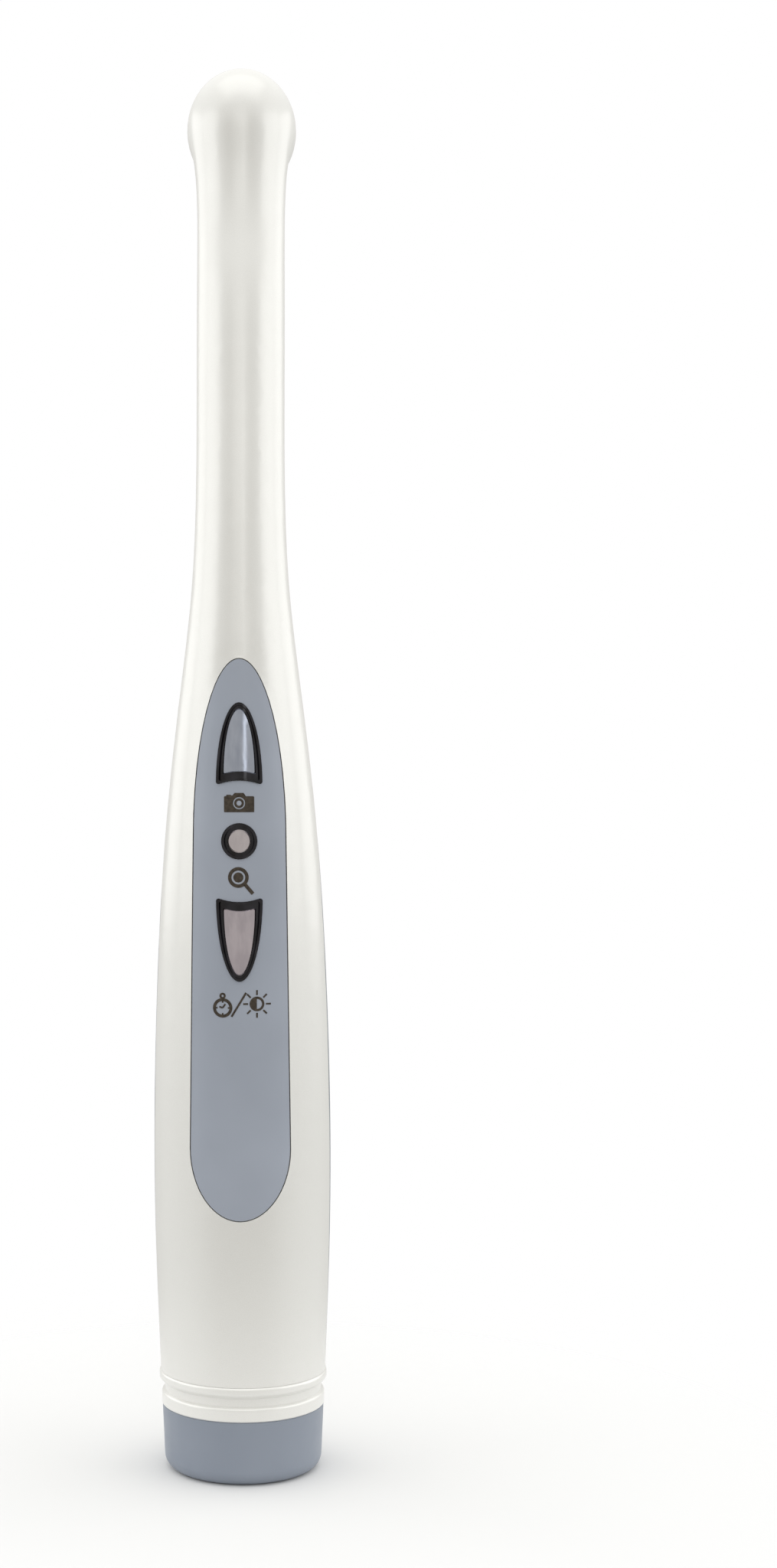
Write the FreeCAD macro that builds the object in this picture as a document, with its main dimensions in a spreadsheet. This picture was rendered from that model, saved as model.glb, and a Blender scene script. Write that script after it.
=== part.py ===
import FreeCAD, Part
import math
import os

import Sketcher

from FreeCAD import Matrix, Placement, Rotation, Vector

# Intraoral camera handpiece, standing upright on its base cap.
# Millimetres.  The origin is the middle of the base, +Z runs up the handle,
# the control panel faces -Y and the camera window faces +Y.

doc = FreeCAD.newDocument("intraoral_camera")
sheet = doc.addObject("Spreadsheet::Sheet", "dims")

# ------------------------------------------------------------------ sizes
DIMENSIONS = [
    # name, value, what it is
    ("grip_radius", "12.72", "largest half width of the handle"),
    ("neck_radius", "6.33", "half width of the slim neck"),
    ("foot_radius", "11.9", "half width of the shells where they meet the collar"),
    ("wall", "1.4", "wall of the two shells"),
    ("fit_gap", "0.15", "gap around an inlaid piece"),
    ("slide_gap", "0.08", "gap between parts that fit closely"),
    ("cap_height", "9.2", "height of the grey base cap"),
    ("cap_radius", "11.65", "radius at the top of the base cap"),
    ("cap_foot_radius", "11.25", "radius near the bottom of the base cap"),
    ("cap_floor", "2.2", "floor of the base cap"),
    ("cap_foot_round", "2.0", "rounding at the foot of the base cap"),
    ("seam_bevel", "0.15", "small bevels along the seam between cap and collar"),
    ("collar_height", "4.9", "height of the ribbed collar"),
    ("collar_radius", "11.75", "flat band of the collar"),
    ("collar_flat", "1.8", "height of the flat lower band of the collar"),
    ("collar_groove", "0.45", "depth of the collar groove"),
    ("collar_ridge", "0.35", "how far the upper ridge stands out"),
    ("collar_bore", "9.6", "clear radius through the collar"),
    ("panel_depth", "0.8", "thickness of the control panel skin"),
    ("panel_half_width", "6.95", "half width of the panel at its lower end"),
    ("panel_top_half_width", "6.4", "half width where the top curve begins"),
    ("panel_bottom", "37.7", "lowest point of the panel"),
    ("panel_top", "116.0", "highest point of the panel"),
    ("panel_flare_bottom", "47.5", "where the bottom curve ends"),
    ("panel_flare_top", "91.0", "where the top curve begins"),
    ("frame_half_width", "3.2", "half width of the two arch frames"),
    ("frame_proud", "0.18", "how far a frame stands out of the panel"),
    ("frame_depth", "1.3", "how deep a frame reaches into the handle"),
    ("frame_lip", "0.34", "width of the raised lip of a frame"),
    ("frame_dish", "0.3", "depth of the dished band inside the lip"),
    ("button_half_width", "2.14", "half width of the two arch buttons"),
    ("button_gap", "0.14", "gap between a button and its frame"),
    ("button_sink", "0.12", "how far an arch button lies under the surface"),
    ("button_travel", "0.35", "press travel of every button"),
    ("flange_margin", "0.45", "how far a button flange reaches past its opening"),
    ("flange_back", "-12.3", "Y of the flat back of the front button flanges"),
    ("stem_radius", "1.0", "radius of a front button stem"),
    ("switch_tip", "-10.95", "Y of the tip of a front switch"),
    ("upper_apex", "109.9", "highest point of the upper frame"),
    ("upper_base", "98.5", "lowest corners of the upper frame"),
    ("lower_apex", "71.2", "lowest point of the lower frame"),
    ("lower_base", "82.8", "highest corners of the lower frame"),
    ("middle_height", "90.66", "height of the round middle button"),
    ("middle_ring_radius", "2.47", "outer radius of the middle ring"),
    ("middle_disc_radius", "1.47", "radius of the middle button disc"),
    ("rear_height", "101.7", "height of the rear button"),
    ("rear_radius", "4.0", "radius of the rear button"),
    ("rear_proud", "0.4", "how far the rear button stands out"),
    ("plate_height", "41.9", "height of the middle of the nameplate"),
    ("plate_half_width", "4.48", "half width of the nameplate"),
    ("plate_half_length", "24.5", "half length of the nameplate"),
    ("plate_sink", "0.45", "depth of the plate under the clear window"),
    ("plate_thickness", "0.3", "thickness of the metal nameplate"),
    ("trim_half_width", "1.3", "half width of a side trim strip"),
    ("trim_bottom", "15.6", "lowest point of a side trim"),
    ("trim_top", "91.0", "highest point of a side trim"),
    ("trim_forward", "0.6", "how far a trim lies towards the panel"),
    ("trim_depth", "0.6", "thickness of a side trim"),
    ("lens_height", "193.9", "height of the camera axis"),
    ("head_face", "10.2", "Y of the front edge of the head shells"),
    ("bezel_radius", "7.05", "outer radius of the chrome ring"),
    ("bezel_thickness", "0.85", "thickness of the chrome ring"),
    ("bezel_bevel", "0.45", "bevel of the chrome ring"),
    ("bezel_bore", "6.35", "clear radius of the chrome ring"),
    ("bezel_skirt", "2.0", "length of the skirt inside the head"),
    ("head_bore", "6.6", "bore of the head behind the ring"),
    ("cover_radius", "6.29", "radius of the clear light cover"),
    ("cover_proud", "1.0", "how far the cover stands out of the ring"),
    ("cover_plate", "1.7", "thickness of the cover face"),
    ("cover_wall", "0.5", "side wall of the cover"),
    ("cover_hub_wall", "0.25", "wall of the hub round the barrel"),
    ("cover_bevel", "0.3", "bevel along the front edge of the cover"),
    ("barrel_radius", "3.48", "outer radius of the lens barrel"),
    ("barrel_nose_radius", "3.18", "radius of the barrel front edge"),
    ("barrel_proud", "1.9", "how far the barrel stands out of the cover"),
    ("barrel_trim_width", "0.14", "width of the thin metal ring round the barrel"),
    ("barrel_trim_thickness", "0.12", "thickness of that ring"),
    ("barrel_flange_radius", "4.15", "radius of the barrel foot on the sensor board"),
    ("barrel_flange_bore", "3.5", "bore of the barrel foot round the sensor"),
    ("barrel_flange_length", "1.9", "length of the barrel foot"),
    ("barrel_flange_depth", "1.3", "depth of that bore"),
    ("board_thickness", "0.8", "thickness of the light and sensor boards"),
    ("led_count", "12", "number of light chips"),
    ("led_circle", "4.78", "radius of the circle of light chips"),
    ("led_width", "1.4", "width of a light chip"),
    ("led_length", "1.8", "length of a light chip, pointing at the barrel"),
    ("led_height", "0.8", "height of a light chip"),
    ("main_board_front", "-9.4", "Y of the front of the main board"),
    ("main_board_thickness", "1.2", "thickness of the main board"),
    ("main_board_half_width", "4.3", "half width of the main board"),
    ("main_board_bottom", "48.0", "lower edge of the main board"),
    ("main_board_top", "111.5", "upper edge of the main board"),
    ("socket_bore", "4.75", "bore of the round cable socket"),
    ("socket_radius", "5.5", "outer radius of the socket barrel"),
    ("socket_depth", "7.0", "depth of the socket bore"),
    ("socket_length", "11.2", "length of the socket barrel"),
    ("socket_flange", "1.7", "width of the flange at the mouth of the socket"),
    ("socket_flange_thickness", "1.0", "thickness of that flange"),
    ("socket_nut_height", "1.6", "height of the socket nut"),
    ("contact_block", "4.0", "length of the insulator that holds the contacts"),
    ("contact_tail", "0.8", "how far the contacts stand out of its far end"),
    ("contact_wall", "0.2", "wall of a contact tube"),
    ("insulator_radius", "4.55", "radius of the insulator inside the socket"),
    ("contact_count", "6", "number of socket contacts"),
    ("contact_circle", "2.6", "radius of the circle of contacts"),
    ("contact_radius", "0.55", "outer radius of a contact tube"),
    ("sensor_face", "0.5", "Y of the front of the sensor board"),
    ("sensor_board_side", "7.8", "side of the square sensor board"),
    ("sensor_width", "5.2", "width of the image sensor"),
    ("sensor_tall", "4.4", "height of the image sensor"),
    ("sensor_thickness", "0.7", "thickness of the image sensor"),
    ("plug_width", "4.6", "width of the connector behind the sensor board"),
    ("plug_tall", "1.4", "height of that connector"),
    ("plug_thickness", "0.7", "thickness of that connector"),
    ("plug_drop", "3.2", "how far that connector lies under the camera axis"),
    ("lens_seat", "12.4", "Y of the back of the front lens"),
    ("lens_radius", "2.75", "radius of the front lens"),
    ("lens_thickness", "1.2", "thickness of the front lens"),
    ("optic_radius", "2.3", "radius of the rear lens and the infrared filter"),
    ("rear_lens_seat", "5.0", "Y of the back of the rear lens"),
    ("rear_lens_thickness", "1.5", "thickness of the rear lens"),
    ("filter_seat", "2.2", "Y of the back of the infrared filter"),
    ("filter_thickness", "0.3", "thickness of the infrared filter"),
    ("nose_length", "1.0", "length of the narrower front of the barrel"),
    ("processor_side", "7.6", "side of the square processor"),
    ("processor_thickness", "1.0", "thickness of the processor"),
    ("processor_height", "79.0", "height of the middle of the processor"),
    ("memory_width", "6.0", "width of a memory chip"),
    ("memory_tall", "4.6", "height of a memory chip"),
    ("memory_thickness", "0.9", "thickness of a memory chip"),
    ("memory_height", "87.0", "height of the middle of the lower memory chip"),
    ("memory_pitch", "6.0", "distance between the two memory chips"),
    ("flex_plug_width", "5.0", "width of the connector of the flat cable"),
    ("flex_plug_depth", "1.4", "depth of that connector"),
    ("flex_plug_tall", "1.6", "height of that connector"),
    ("flex_plug_height", "108.8", "height of its middle"),
    ("flex_half_width", "2.0", "half width of the flat cable"),
    ("flex_thickness", "0.2", "thickness of the flat cable"),
    ("wire_plug_width", "6.0", "width of the connector of the wires"),
    ("wire_plug_depth", "3.2", "depth of that connector"),
    ("wire_plug_tall", "3.0", "height of that connector"),
    ("wire_plug_height", "59.0", "height of its middle"),
    ("switch_side", "3.4", "side of a front switch"),
    ("switch_depth", "1.1", "depth of a front switch"),
    ("plunger_radius", "0.8", "radius of the plunger of a front switch"),
    ("rear_switch_side", "6.0", "side of the rear switch"),
    ("rear_switch_depth", "3.4", "depth of the rear switch"),
    ("rear_plunger_radius", "1.75", "radius of the plunger of the rear switch"),
]

for row, (name, value, meaning) in enumerate(DIMENSIONS, start=1):
    sheet.set("A%d" % row, meaning)
    sheet.set("B%d" % row, value)
    sheet.setAlias("B%d" % row, name)
doc.recompute()


def size(name):
    """The value of one named size."""
    return float(sheet.get(name))


# ------------------------------------------------------------ handle form
# The handle is a chain of round sections along a bowed centre line.
# Each straight station: height, offset of the centre along Y, half width, half depth.
STRAIGHT_STATIONS = [
    (14.1, 0.0, size("foot_radius"), size("foot_radius")),
    (30.0, -0.2, 12.5, 12.5),
    (48.0, -0.8, size("grip_radius"), 12.65),
    (66.0, -1.8, 12.34, 12.2),
    (84.0, -3.1, 11.45, 11.3),
    (100.0, -4.4, 10.05, 9.9),
    (114.0, -5.25, 8.35, 8.3),
    (126.0, -5.3, 7.0, 6.95),
    (140.0, -4.3, 6.38, 6.38),
    (156.0, -2.3, size("neck_radius"), size("neck_radius")),
    (172.0, 0.05, 6.36, 6.42),
]

# The head turns through a right angle.  Each fan station is given by its inner
# point (under the ring), its outer point (over the crown) and its half width.
FAN_STATIONS = [
    ((8.30, 183.6), (-4.10, 185.2), 6.48),
    ((8.90, 185.4), (-4.00, 191.0), 6.74),
    ((9.40, 186.3), (-3.39, 197.8), 7.36),
    ((9.80, 186.7), (0.20, 202.3), 7.98),
    ((10.05, 186.85), (5.30, 203.3), 7.84),
]


def station_list():
    """Every station as centre Y, centre Z, half width, half depth and lean angle."""
    stations = []
    for height, offset, half_width, half_depth in STRAIGHT_STATIONS:
        stations.append((offset, height, half_width, half_depth, 0.0))
    for (inner_y, inner_z), (outer_y, outer_z), half_width in FAN_STATIONS:
        half_depth = math.hypot(inner_y - outer_y, inner_z - outer_z) / 2
        lean = math.degrees(math.atan2(inner_z - outer_z, inner_y - outer_y))
        middle_y = (inner_y + outer_y) / 2
        middle_z = (inner_z + outer_z) / 2
        stations.append((middle_y, middle_z, half_width, half_depth, lean))
    face_radius = size("bezel_radius")
    stations.append((size("head_face"), size("lens_height"), face_radius, face_radius, -90.0))
    return stations


STATIONS = station_list()


def section(centre_y, centre_z, half_width, half_depth, lean):
    """One closed elliptical section of the form."""
    circle = Part.Circle(Vector(0, 0, 0), Vector(0, 0, 1), 1.0)
    edge = circle.toNurbs(0, 2 * math.pi).toShape()
    stretch = Matrix(half_width, 0, 0, 0, 0, half_depth, 0, 0, 0, 0, 1, 0, 0, 0, 0, 1)
    edge = edge.transformGeometry(stretch)
    edge.Placement = Placement(Vector(0, centre_y, centre_z), Rotation(Vector(1, 0, 0), lean))
    return Part.Wire([edge])


def handle_form(outset):
    """The solid form of the whole handle, grown outwards (or inwards if negative)."""
    wires = []
    for centre_y, centre_z, half_width, half_depth, lean in STATIONS:
        wires.append(section(centre_y, centre_z, half_width + outset, half_depth + outset, lean))
    return Part.makeLoft(wires, True, False)


OUTER = handle_form(0.0)


def skin(outermost, innermost):
    """The layer of the handle between two depths measured from its surface."""
    outer = OUTER if outermost == 0 else handle_form(outermost)
    return outer.cut(handle_form(innermost))


def centre_line():
    """The centre line of the handle as a smooth curve in the YZ plane."""
    curve = Part.BSplineCurve()
    curve.interpolate([Vector(0, station[0], station[1]) for station in STATIONS])
    return curve


CENTRE_LINE = centre_line()


def centre_offset(height):
    """Y of the centre line at a height below the head."""
    low = CENTRE_LINE.FirstParameter
    high = CENTRE_LINE.LastParameter
    for _ in range(40):
        middle = (low + high) / 2
        if CENTRE_LINE.value(middle).z < height and CENTRE_LINE.value(middle).y < 5:
            low = middle
        else:
            high = middle
    return CENTRE_LINE.value(low).y


# ------------------------------------------------------- outline helpers
def upright(x, z, y=0.0):
    """A point given by its place on the panel as seen from the front."""
    return Vector(x, y, z)


def prism(edges, y_from, y_to):
    """A prism along Y from a closed outline drawn in the XZ plane."""
    face = Part.Face(Part.Wire(edges))
    face.translate(Vector(0, y_from, 0))
    return face.extrude(Vector(0, y_to - y_from, 0))


def line(start, end):
    return Part.LineSegment(start, end).toShape()


def arc(start, middle, end):
    return Part.Arc(start, middle, end).toShape()


ARCH_HOLLOW = 0.19


def half_ellipse(centre, half_width, half_height):
    """The upper half of an upright ellipse, or the lower half if half_height is negative."""
    across = half_width >= abs(half_height)
    major = max(half_width, abs(half_height))
    minor = min(half_width, abs(half_height))
    along = Vector(1, 0, 0) if across else Vector(0, 0, 1)
    side = Vector(0, 0, 1) if across else Vector(1, 0, 0)
    ellipse = Part.Ellipse(centre + along * major, centre + side * minor, centre)
    start = centre + Vector(half_width, 0, 0)
    end = centre - Vector(half_width, 0, 0)
    tip = centre + Vector(0, 0, half_height)
    first = ellipse.parameter(start)
    last = ellipse.parameter(end)
    piece = ellipse.toShape(first, last)
    if piece.distToShape(Part.Vertex(tip))[0] > 0.01:
        piece = ellipse.toShape(last, first)
    return piece


def disc_prism(height, radius, y_from, y_to):
    """A round prism along Y centred on the handle."""
    length = abs(y_to - y_from)
    return Part.makeCylinder(radius, length, Vector(0, min(y_from, y_to), height), Vector(0, 1, 0))


def round_feet(shape, amount):
    """Round the two upright edges at the feet of an arch prism."""
    upright_edges = []
    for edge in shape.Edges:
        box = edge.BoundBox
        if box.XLength < 0.001 and box.ZLength < 0.001:
            upright_edges.append(edge)
    return shape.makeFillet(amount, upright_edges)


def arch_prism(arch, margin, y_from, y_to):
    """A prism with a half-oval outline whose tip may be above or below its hollowed foot."""
    up = 1.0 if arch["tip"] > arch["foot"] else -1.0
    reach = arch["half_width"] + margin
    tip = arch["tip"] + up * margin
    foot = arch["foot"] - up * margin
    hollow = upright(0, foot + up * reach * ARCH_HOLLOW)
    edges = [
        half_ellipse(upright(0, foot), reach, tip - foot),
        arc(upright(-reach, foot), hollow, upright(reach, foot)),
    ]
    shape = prism(Part.sortEdges(edges)[0], y_from, y_to)
    return round_feet(shape, arch["foot_round"])


def panel_prism(margin, y_from, y_to):
    """A prism with the outline of the control panel."""
    low = size("panel_flare_bottom")
    high = size("panel_flare_top")
    wide = size("panel_half_width") + margin
    narrow = size("panel_top_half_width") + margin
    top = half_ellipse(upright(0, high), narrow, size("panel_top") + margin - high)
    bottom = half_ellipse(upright(0, low), wide, size("panel_bottom") - margin - low)
    edges = [
        top,
        line(upright(-narrow, high), upright(-wide, low)),
        bottom,
        line(upright(wide, low), upright(narrow, high)),
    ]
    return prism(Part.sortEdges(edges)[0], y_from, y_to)


def leaf_prism(margin, x_from, x_to):
    """A prism along X with the leaf outline of a side trim."""
    low = size("trim_bottom") - margin
    high = size("trim_top") + margin
    steps = 8
    front_points = []
    rear_points = []
    for step in range(steps + 1):
        share = step / steps
        height = low + (high - low) * share
        half = (size("trim_half_width") + margin) * 4 * share * (1 - share)
        middle = centre_offset(height) - size("trim_forward")
        front_points.append(Vector(0, middle - half, height))
        rear_points.append(Vector(0, middle + half, height))
    front = Part.BSplineCurve()
    front.interpolate(front_points)
    rear = Part.BSplineCurve()
    rear.interpolate(rear_points)
    face = Part.Face(Part.Wire([front.toShape(), rear.toShape()]))
    face.translate(Vector(x_from, 0, 0))
    return face.extrude(Vector(x_to - x_from, 0, 0))


# ---------------------------------------------------------- node helpers
NODES = []
FAR = 40.0


def keep_shape(label, shape):
    """Store a freely shaped sub-part as its own object."""
    feature = doc.addObject("Part::Feature", label)
    feature.Label = label
    single = len(shape.Solids) == 1
    feature.Shape = shape.removeSplitter() if single else shape
    feature.Placement = Placement(Vector(0, 0, 0), Rotation())
    NODES.append(feature)
    return feature


def keep(feature, label):
    """Name a finished object and remember it as a sub-part."""
    feature.Label = label
    NODES.append(feature)
    return feature


def origin_plane(body, role):
    """One of the three planes of a body's own origin."""
    return [item for item in body.Origin.OriginFeatures if item.Role == role][0]


def worked_out(expression):
    """The value of an expression made of named sizes."""
    return float(sheet.evalExpression(expression))


def fix_point(sketch, edge, corner, across, up):
    """Hold one corner of an outline at its two named distances."""
    if across == "0":
        sketch.addConstraint(Sketcher.Constraint("PointOnObject", edge, corner, -2))
    else:
        index = sketch.addConstraint(Sketcher.Constraint("DistanceX", -1, 1, edge, corner, 1.0))
        sketch.setExpression("Constraints[%d]" % index, across)
    if up == "0":
        sketch.addConstraint(Sketcher.Constraint("PointOnObject", edge, corner, -1))
    else:
        index = sketch.addConstraint(Sketcher.Constraint("DistanceY", -1, 1, edge, corner, 1.0))
        sketch.setExpression("Constraints[%d]" % index, up)


def outline_sketch(body, name, role, corners):
    """A closed straight-sided outline whose corners are given as named sizes."""
    sketch = body.newObject("Sketcher::SketchObject", name)
    sketch.AttachmentSupport = [(origin_plane(body, role), "")]
    sketch.MapMode = "FlatFace"
    spots = []
    for across, up in corners:
        spots.append(Vector(worked_out(across), worked_out(up), 0))
    count = len(spots)
    for index in range(count):
        sketch.addGeometry(Part.LineSegment(spots[index], spots[(index + 1) % count]), False)
    for index in range(count):
        sketch.addConstraint(Sketcher.Constraint("Coincident", index, 2, (index + 1) % count, 1))
    for index, (across, up) in enumerate(corners):
        fix_point(sketch, index, 1, across, up)
    return sketch


def turned(label, corners, place):
    """A turned part: an outline of radius and length pairs swept round its own Z axis."""
    body = doc.addObject("PartDesign::Body", label)
    sketch = outline_sketch(body, label + "_outline", "XZ_Plane", corners)
    turn = body.newObject("PartDesign::Revolution", label + "_turn")
    turn.Profile = sketch
    turn.ReferenceAxis = (sketch, ["V_Axis"])
    turn.Angle = 360
    sketch.Visibility = False
    body.Placement = place
    return body


def round_edges(body, name, amount, wanted):
    """Round the circular edges of a body that the test picks out."""
    doc.recompute()
    tip = body.Tip
    chosen = []
    for index, edge in enumerate(tip.Shape.Edges, start=1):
        if isinstance(edge.Curve, Part.Circle) and wanted(edge.Curve.Radius, edge.BoundBox.ZMin):
            chosen.append("Edge%d" % index)
    fillet = body.newObject("PartDesign::Fillet", name)
    fillet.Base = (tip, chosen)
    fillet.setExpression("Radius", amount)
    return fillet


def bind(feature, properties):
    """Tie properties of an object to named sizes."""
    for name, expression in properties.items():
        feature.setExpression(name, expression)


def block(name, wide, deep, high, x, y, z):
    """A box; x and z give its middle, y gives its front."""
    box = doc.addObject("Part::Box", name)
    bind(box, {
        "Length": wide,
        "Width": deep,
        "Height": high,
        "Placement.Base.x": "(%s) - (%s) / 2" % (x, wide),
        "Placement.Base.y": y,
        "Placement.Base.z": "(%s) - (%s) / 2" % (z, high),
    })
    return box


def rod(name, radius, length, x, y, z):
    """A cylinder that starts at Y and runs towards +Y."""
    cylinder = doc.addObject("Part::Cylinder", name)
    cylinder.Placement = Placement(Vector(0, 0, 0), Rotation(Vector(1, 0, 0), -90))
    bind(cylinder, {
        "Radius": radius,
        "Height": length,
        "Placement.Base.x": x,
        "Placement.Base.y": y,
        "Placement.Base.z": z,
    })
    return cylinder


def fused(name, pieces):
    joined = doc.addObject("Part::MultiFuse", name)
    joined.Shapes = pieces
    return joined


def cut(name, base, tools):
    """A base with one or more tools taken away."""
    tool = tools[0]
    if len(tools) > 1:
        tool = fused(name + "_tools", tools)
    difference = doc.addObject("Part::Cut", name)
    difference.Base = base
    difference.Tool = tool
    return difference


def group(name, pieces):
    """Separate identical solids kept together as one sub-part."""
    together = doc.addObject("Part::Compound", name)
    together.Links = pieces
    return together


def lens_place(y):
    """A place on the camera axis with local Z pointing out of the window."""
    return Placement(Vector(0, y, size("lens_height")), Rotation(Vector(1, 0, 0), -90))


def upright_place(z):
    return Placement(Vector(0, 0, z), Rotation())


# ------------------------------------------------------ openings and inlays
GAP = size("fit_gap")
PROUD_TOOL = 1.0
SEAT = 0.05

# the outlines of the two arch frames and of the buttons inside them
FRAME_SHAPE = {"half_width": size("frame_half_width"), "foot_round": 0.35}
BUTTON_SHAPE = {"half_width": size("button_half_width"), "foot_round": 0.15}
BUTTON_TIP_INSET = 0.95
BUTTON_FOOT_INSET = 1.55

ARCHES = {
    "upper": (size("upper_apex"), size("upper_base")),
    "lower": (size("lower_apex"), size("lower_base")),
}


def arch_frame_prism(which, margin):
    """The outline of one arch frame, cut right through the front of the handle."""
    tip, foot = ARCHES[which]
    return arch_prism(dict(FRAME_SHAPE, tip=tip, foot=foot), margin, -FAR, 0)


def arch_button_prism(which, margin, y_to):
    """The outline of one arch button."""
    tip, foot = ARCHES[which]
    up = 1.0 if tip > foot else -1.0
    tip = tip - up * BUTTON_TIP_INSET
    foot = foot + up * BUTTON_FOOT_INSET
    return arch_prism(dict(BUTTON_SHAPE, tip=tip, foot=foot), margin, -FAR, y_to)


def round_button_prism(margin, y_to):
    """The outline of the round middle button."""
    return disc_prism(size("middle_height"), size("middle_disc_radius") + margin, -FAR, y_to)


def ring_prism(margin):
    """The outline of the ring round the middle button."""
    return disc_prism(size("middle_height"), size("middle_ring_radius") + margin, -FAR, 0)


def nameplate_prism(margin):
    """The long oval outline of the nameplate on the back of the handle."""
    middle = upright(0, size("plate_height"))
    wide = size("plate_half_width") + margin
    tall = size("plate_half_length") + margin
    edges = [half_ellipse(middle, wide, tall), half_ellipse(middle, wide, -tall)]
    return prism(Part.sortEdges(edges)[0], 0, FAR)


SHELL_SCREW_HEIGHTS = (25.0, 41.0)
SHELL_BOSS_RADIUS = 2.4
SHELL_SCREW_RADIUS = 0.8
SHELL_SCREW_HEAD_RADIUS = 1.6
SHELL_SCREW_HEAD_SEAT = 9.4
SHELL_SCREW_HEAD_LENGTH = 1.2
SHELL_SCREW_END = -5.0

BOARD_SCREW_X = 2.9
BOARD_SCREW_HEIGHTS = (52.0, 67.5)
BOARD_BOSS_RADIUS = 1.3
BOARD_SCREW_RADIUS = 0.5
BOARD_SCREW_END = -11.3


def board_screw_places():
    return [(x, z) for z in BOARD_SCREW_HEIGHTS for x in (-BOARD_SCREW_X, BOARD_SCREW_X)]


PARTING_OFFSET = 0.03


def front_side():
    """Everything on the panel side of the parting surface, a hair behind the centre line."""
    curve = CENTRE_LINE.toShape()
    start = CENTRE_LINE.StartPoint
    end = CENTRE_LINE.EndPoint
    top = 260.0
    corners = [
        end,
        Vector(0, FAR, end.z),
        Vector(0, FAR, top),
        Vector(0, -FAR, top),
        Vector(0, -FAR, 0),
        Vector(0, start.y, 0),
        start,
    ]
    edges = [curve]
    for first, second in zip(corners[:-1], corners[1:]):
        edges.append(line(first, second))
    face = Part.Face(Part.Wire(edges))
    face.translate(Vector(-FAR, PARTING_OFFSET, 0))
    return face.extrude(Vector(2 * FAR, 0, 0))


def hollow_with_bosses():
    """Both shells still in one piece, with their screw bosses."""
    wall = size("wall")
    shape = OUTER.cut(handle_form(-wall))
    inside = handle_form(-wall / 2)
    for height in SHELL_SCREW_HEIGHTS:
        boss = disc_prism(height, SHELL_BOSS_RADIUS, -FAR, FAR).common(inside)
        shape = shape.fuse(boss)
    for x, height in board_screw_places():
        boss = disc_prism(height, BOARD_BOSS_RADIUS, -FAR, size("main_board_front"))
        boss.translate(Vector(x, 0, 0))
        shape = shape.fuse(boss.common(inside))
    face = size("head_face")
    depth = size("bezel_skirt") + size("board_thickness")
    bore = disc_prism(size("lens_height"), size("head_bore"), face - depth, face + PROUD_TOOL)
    return shape.cut(bore)


def trim_seats(shape):
    """Cut the shallow seats of both side trims."""
    band = skin(PROUD_TOOL, -size("trim_depth") - SEAT)
    for x_to in (-FAR, FAR):
        shape = shape.cut(band.common(leaf_prism(SEAT, 0, x_to)))
    return shape


def build_shells():
    """The two white shells, split along the centre line."""
    hollow = trim_seats(hollow_with_bosses())
    front_half = front_side()
    front = hollow.common(front_half)
    rear = hollow.cut(front_half)

    panel_band = skin(PROUD_TOOL, -size("panel_depth"))
    front = front.cut(panel_band.common(panel_prism(GAP, -FAR, 0)))
    frame_band = skin(PROUD_TOOL, -size("frame_depth"))
    gap = size("button_gap")
    for which in ARCHES:
        front = front.cut(frame_band.common(arch_frame_prism(which, SEAT)))
        front = front.cut(arch_button_prism(which, gap, 0))
    front = front.cut(frame_band.common(ring_prism(SEAT)))
    front = front.cut(round_button_prism(gap, 0))
    for height in SHELL_SCREW_HEIGHTS:
        front = front.cut(disc_prism(height, SHELL_SCREW_RADIUS, SHELL_SCREW_END - SEAT, FAR))
    for x, height in board_screw_places():
        pilot = disc_prism(height, BOARD_SCREW_RADIUS, BOARD_SCREW_END - SEAT, 0)
        pilot.translate(Vector(x, 0, 0))
        front = front.cut(pilot)
    keep_shape("front_shell", front)

    plate_band = skin(PROUD_TOOL, -size("plate_sink") - size("plate_thickness"))
    rear = rear.cut(plate_band.common(nameplate_prism(SEAT)))
    rear = rear.cut(disc_prism(size("rear_height"), size("rear_radius") + GAP, 0, FAR))
    for height in SHELL_SCREW_HEIGHTS:
        rear = rear.cut(disc_prism(height, SHELL_SCREW_RADIUS + GAP, -FAR, FAR))
        well = disc_prism(height, SHELL_SCREW_HEAD_RADIUS + GAP, SHELL_SCREW_HEAD_SEAT, FAR)
        rear = rear.cut(well)
    keep_shape("rear_shell", rear)


def build_side_trims():
    """The narrow soft strips that cover the parting line on both sides."""
    band = skin(0, -size("trim_depth"))
    keep_shape("side_trim_right", band.common(leaf_prism(0, 0, FAR)))
    keep_shape("side_trim_left", band.common(leaf_prism(0, 0, -FAR)))


def build_control_panel():
    """The blue-grey panel skin on the front of the handle."""
    panel = skin(0, -size("panel_depth")).common(panel_prism(0, -FAR, 0))
    for which in ARCHES:
        panel = panel.cut(arch_frame_prism(which, SEAT))
    panel = panel.cut(ring_prism(SEAT))
    keep_shape("control_panel", panel)


def build_button_frames():
    """The glossy frames: a thin raised lip round a dished band and an opening."""
    gap = size("button_gap")
    lip = size("frame_lip")
    band = skin(size("frame_proud"), -size("frame_depth"))
    dish = skin(PROUD_TOOL, -size("frame_dish"))
    for which in ARCHES:
        frame = band.common(arch_frame_prism(which, 0))
        frame = frame.cut(dish.common(arch_frame_prism(which, -lip)))
        frame = frame.cut(arch_button_prism(which, gap, 0))
        keep_shape(which + "_button_frame", frame)
    ring = band.common(ring_prism(0))
    ring = ring.cut(dish.common(ring_prism(-lip)))
    ring = ring.cut(round_button_prism(gap, 0))
    keep_shape("middle_button_ring", ring)


def front_button(cap, flange, height):
    """A front button: visible cap, hidden flange that keeps it in, stem to its switch."""
    shape = cap.common(handle_form(-size("button_sink")))
    shape = shape.fuse(flange.common(handle_form(-size("wall") - size("slide_gap"))))
    stem_end = size("switch_tip") - size("button_travel") - SEAT
    stem = disc_prism(height, size("stem_radius"), size("flange_back") - SEAT, stem_end)
    return shape.fuse(stem)


def arch_button_height(which):
    """Height of the stem of an arch button."""
    apex, base = ARCHES[which]
    return (apex + base) / 2


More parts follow.
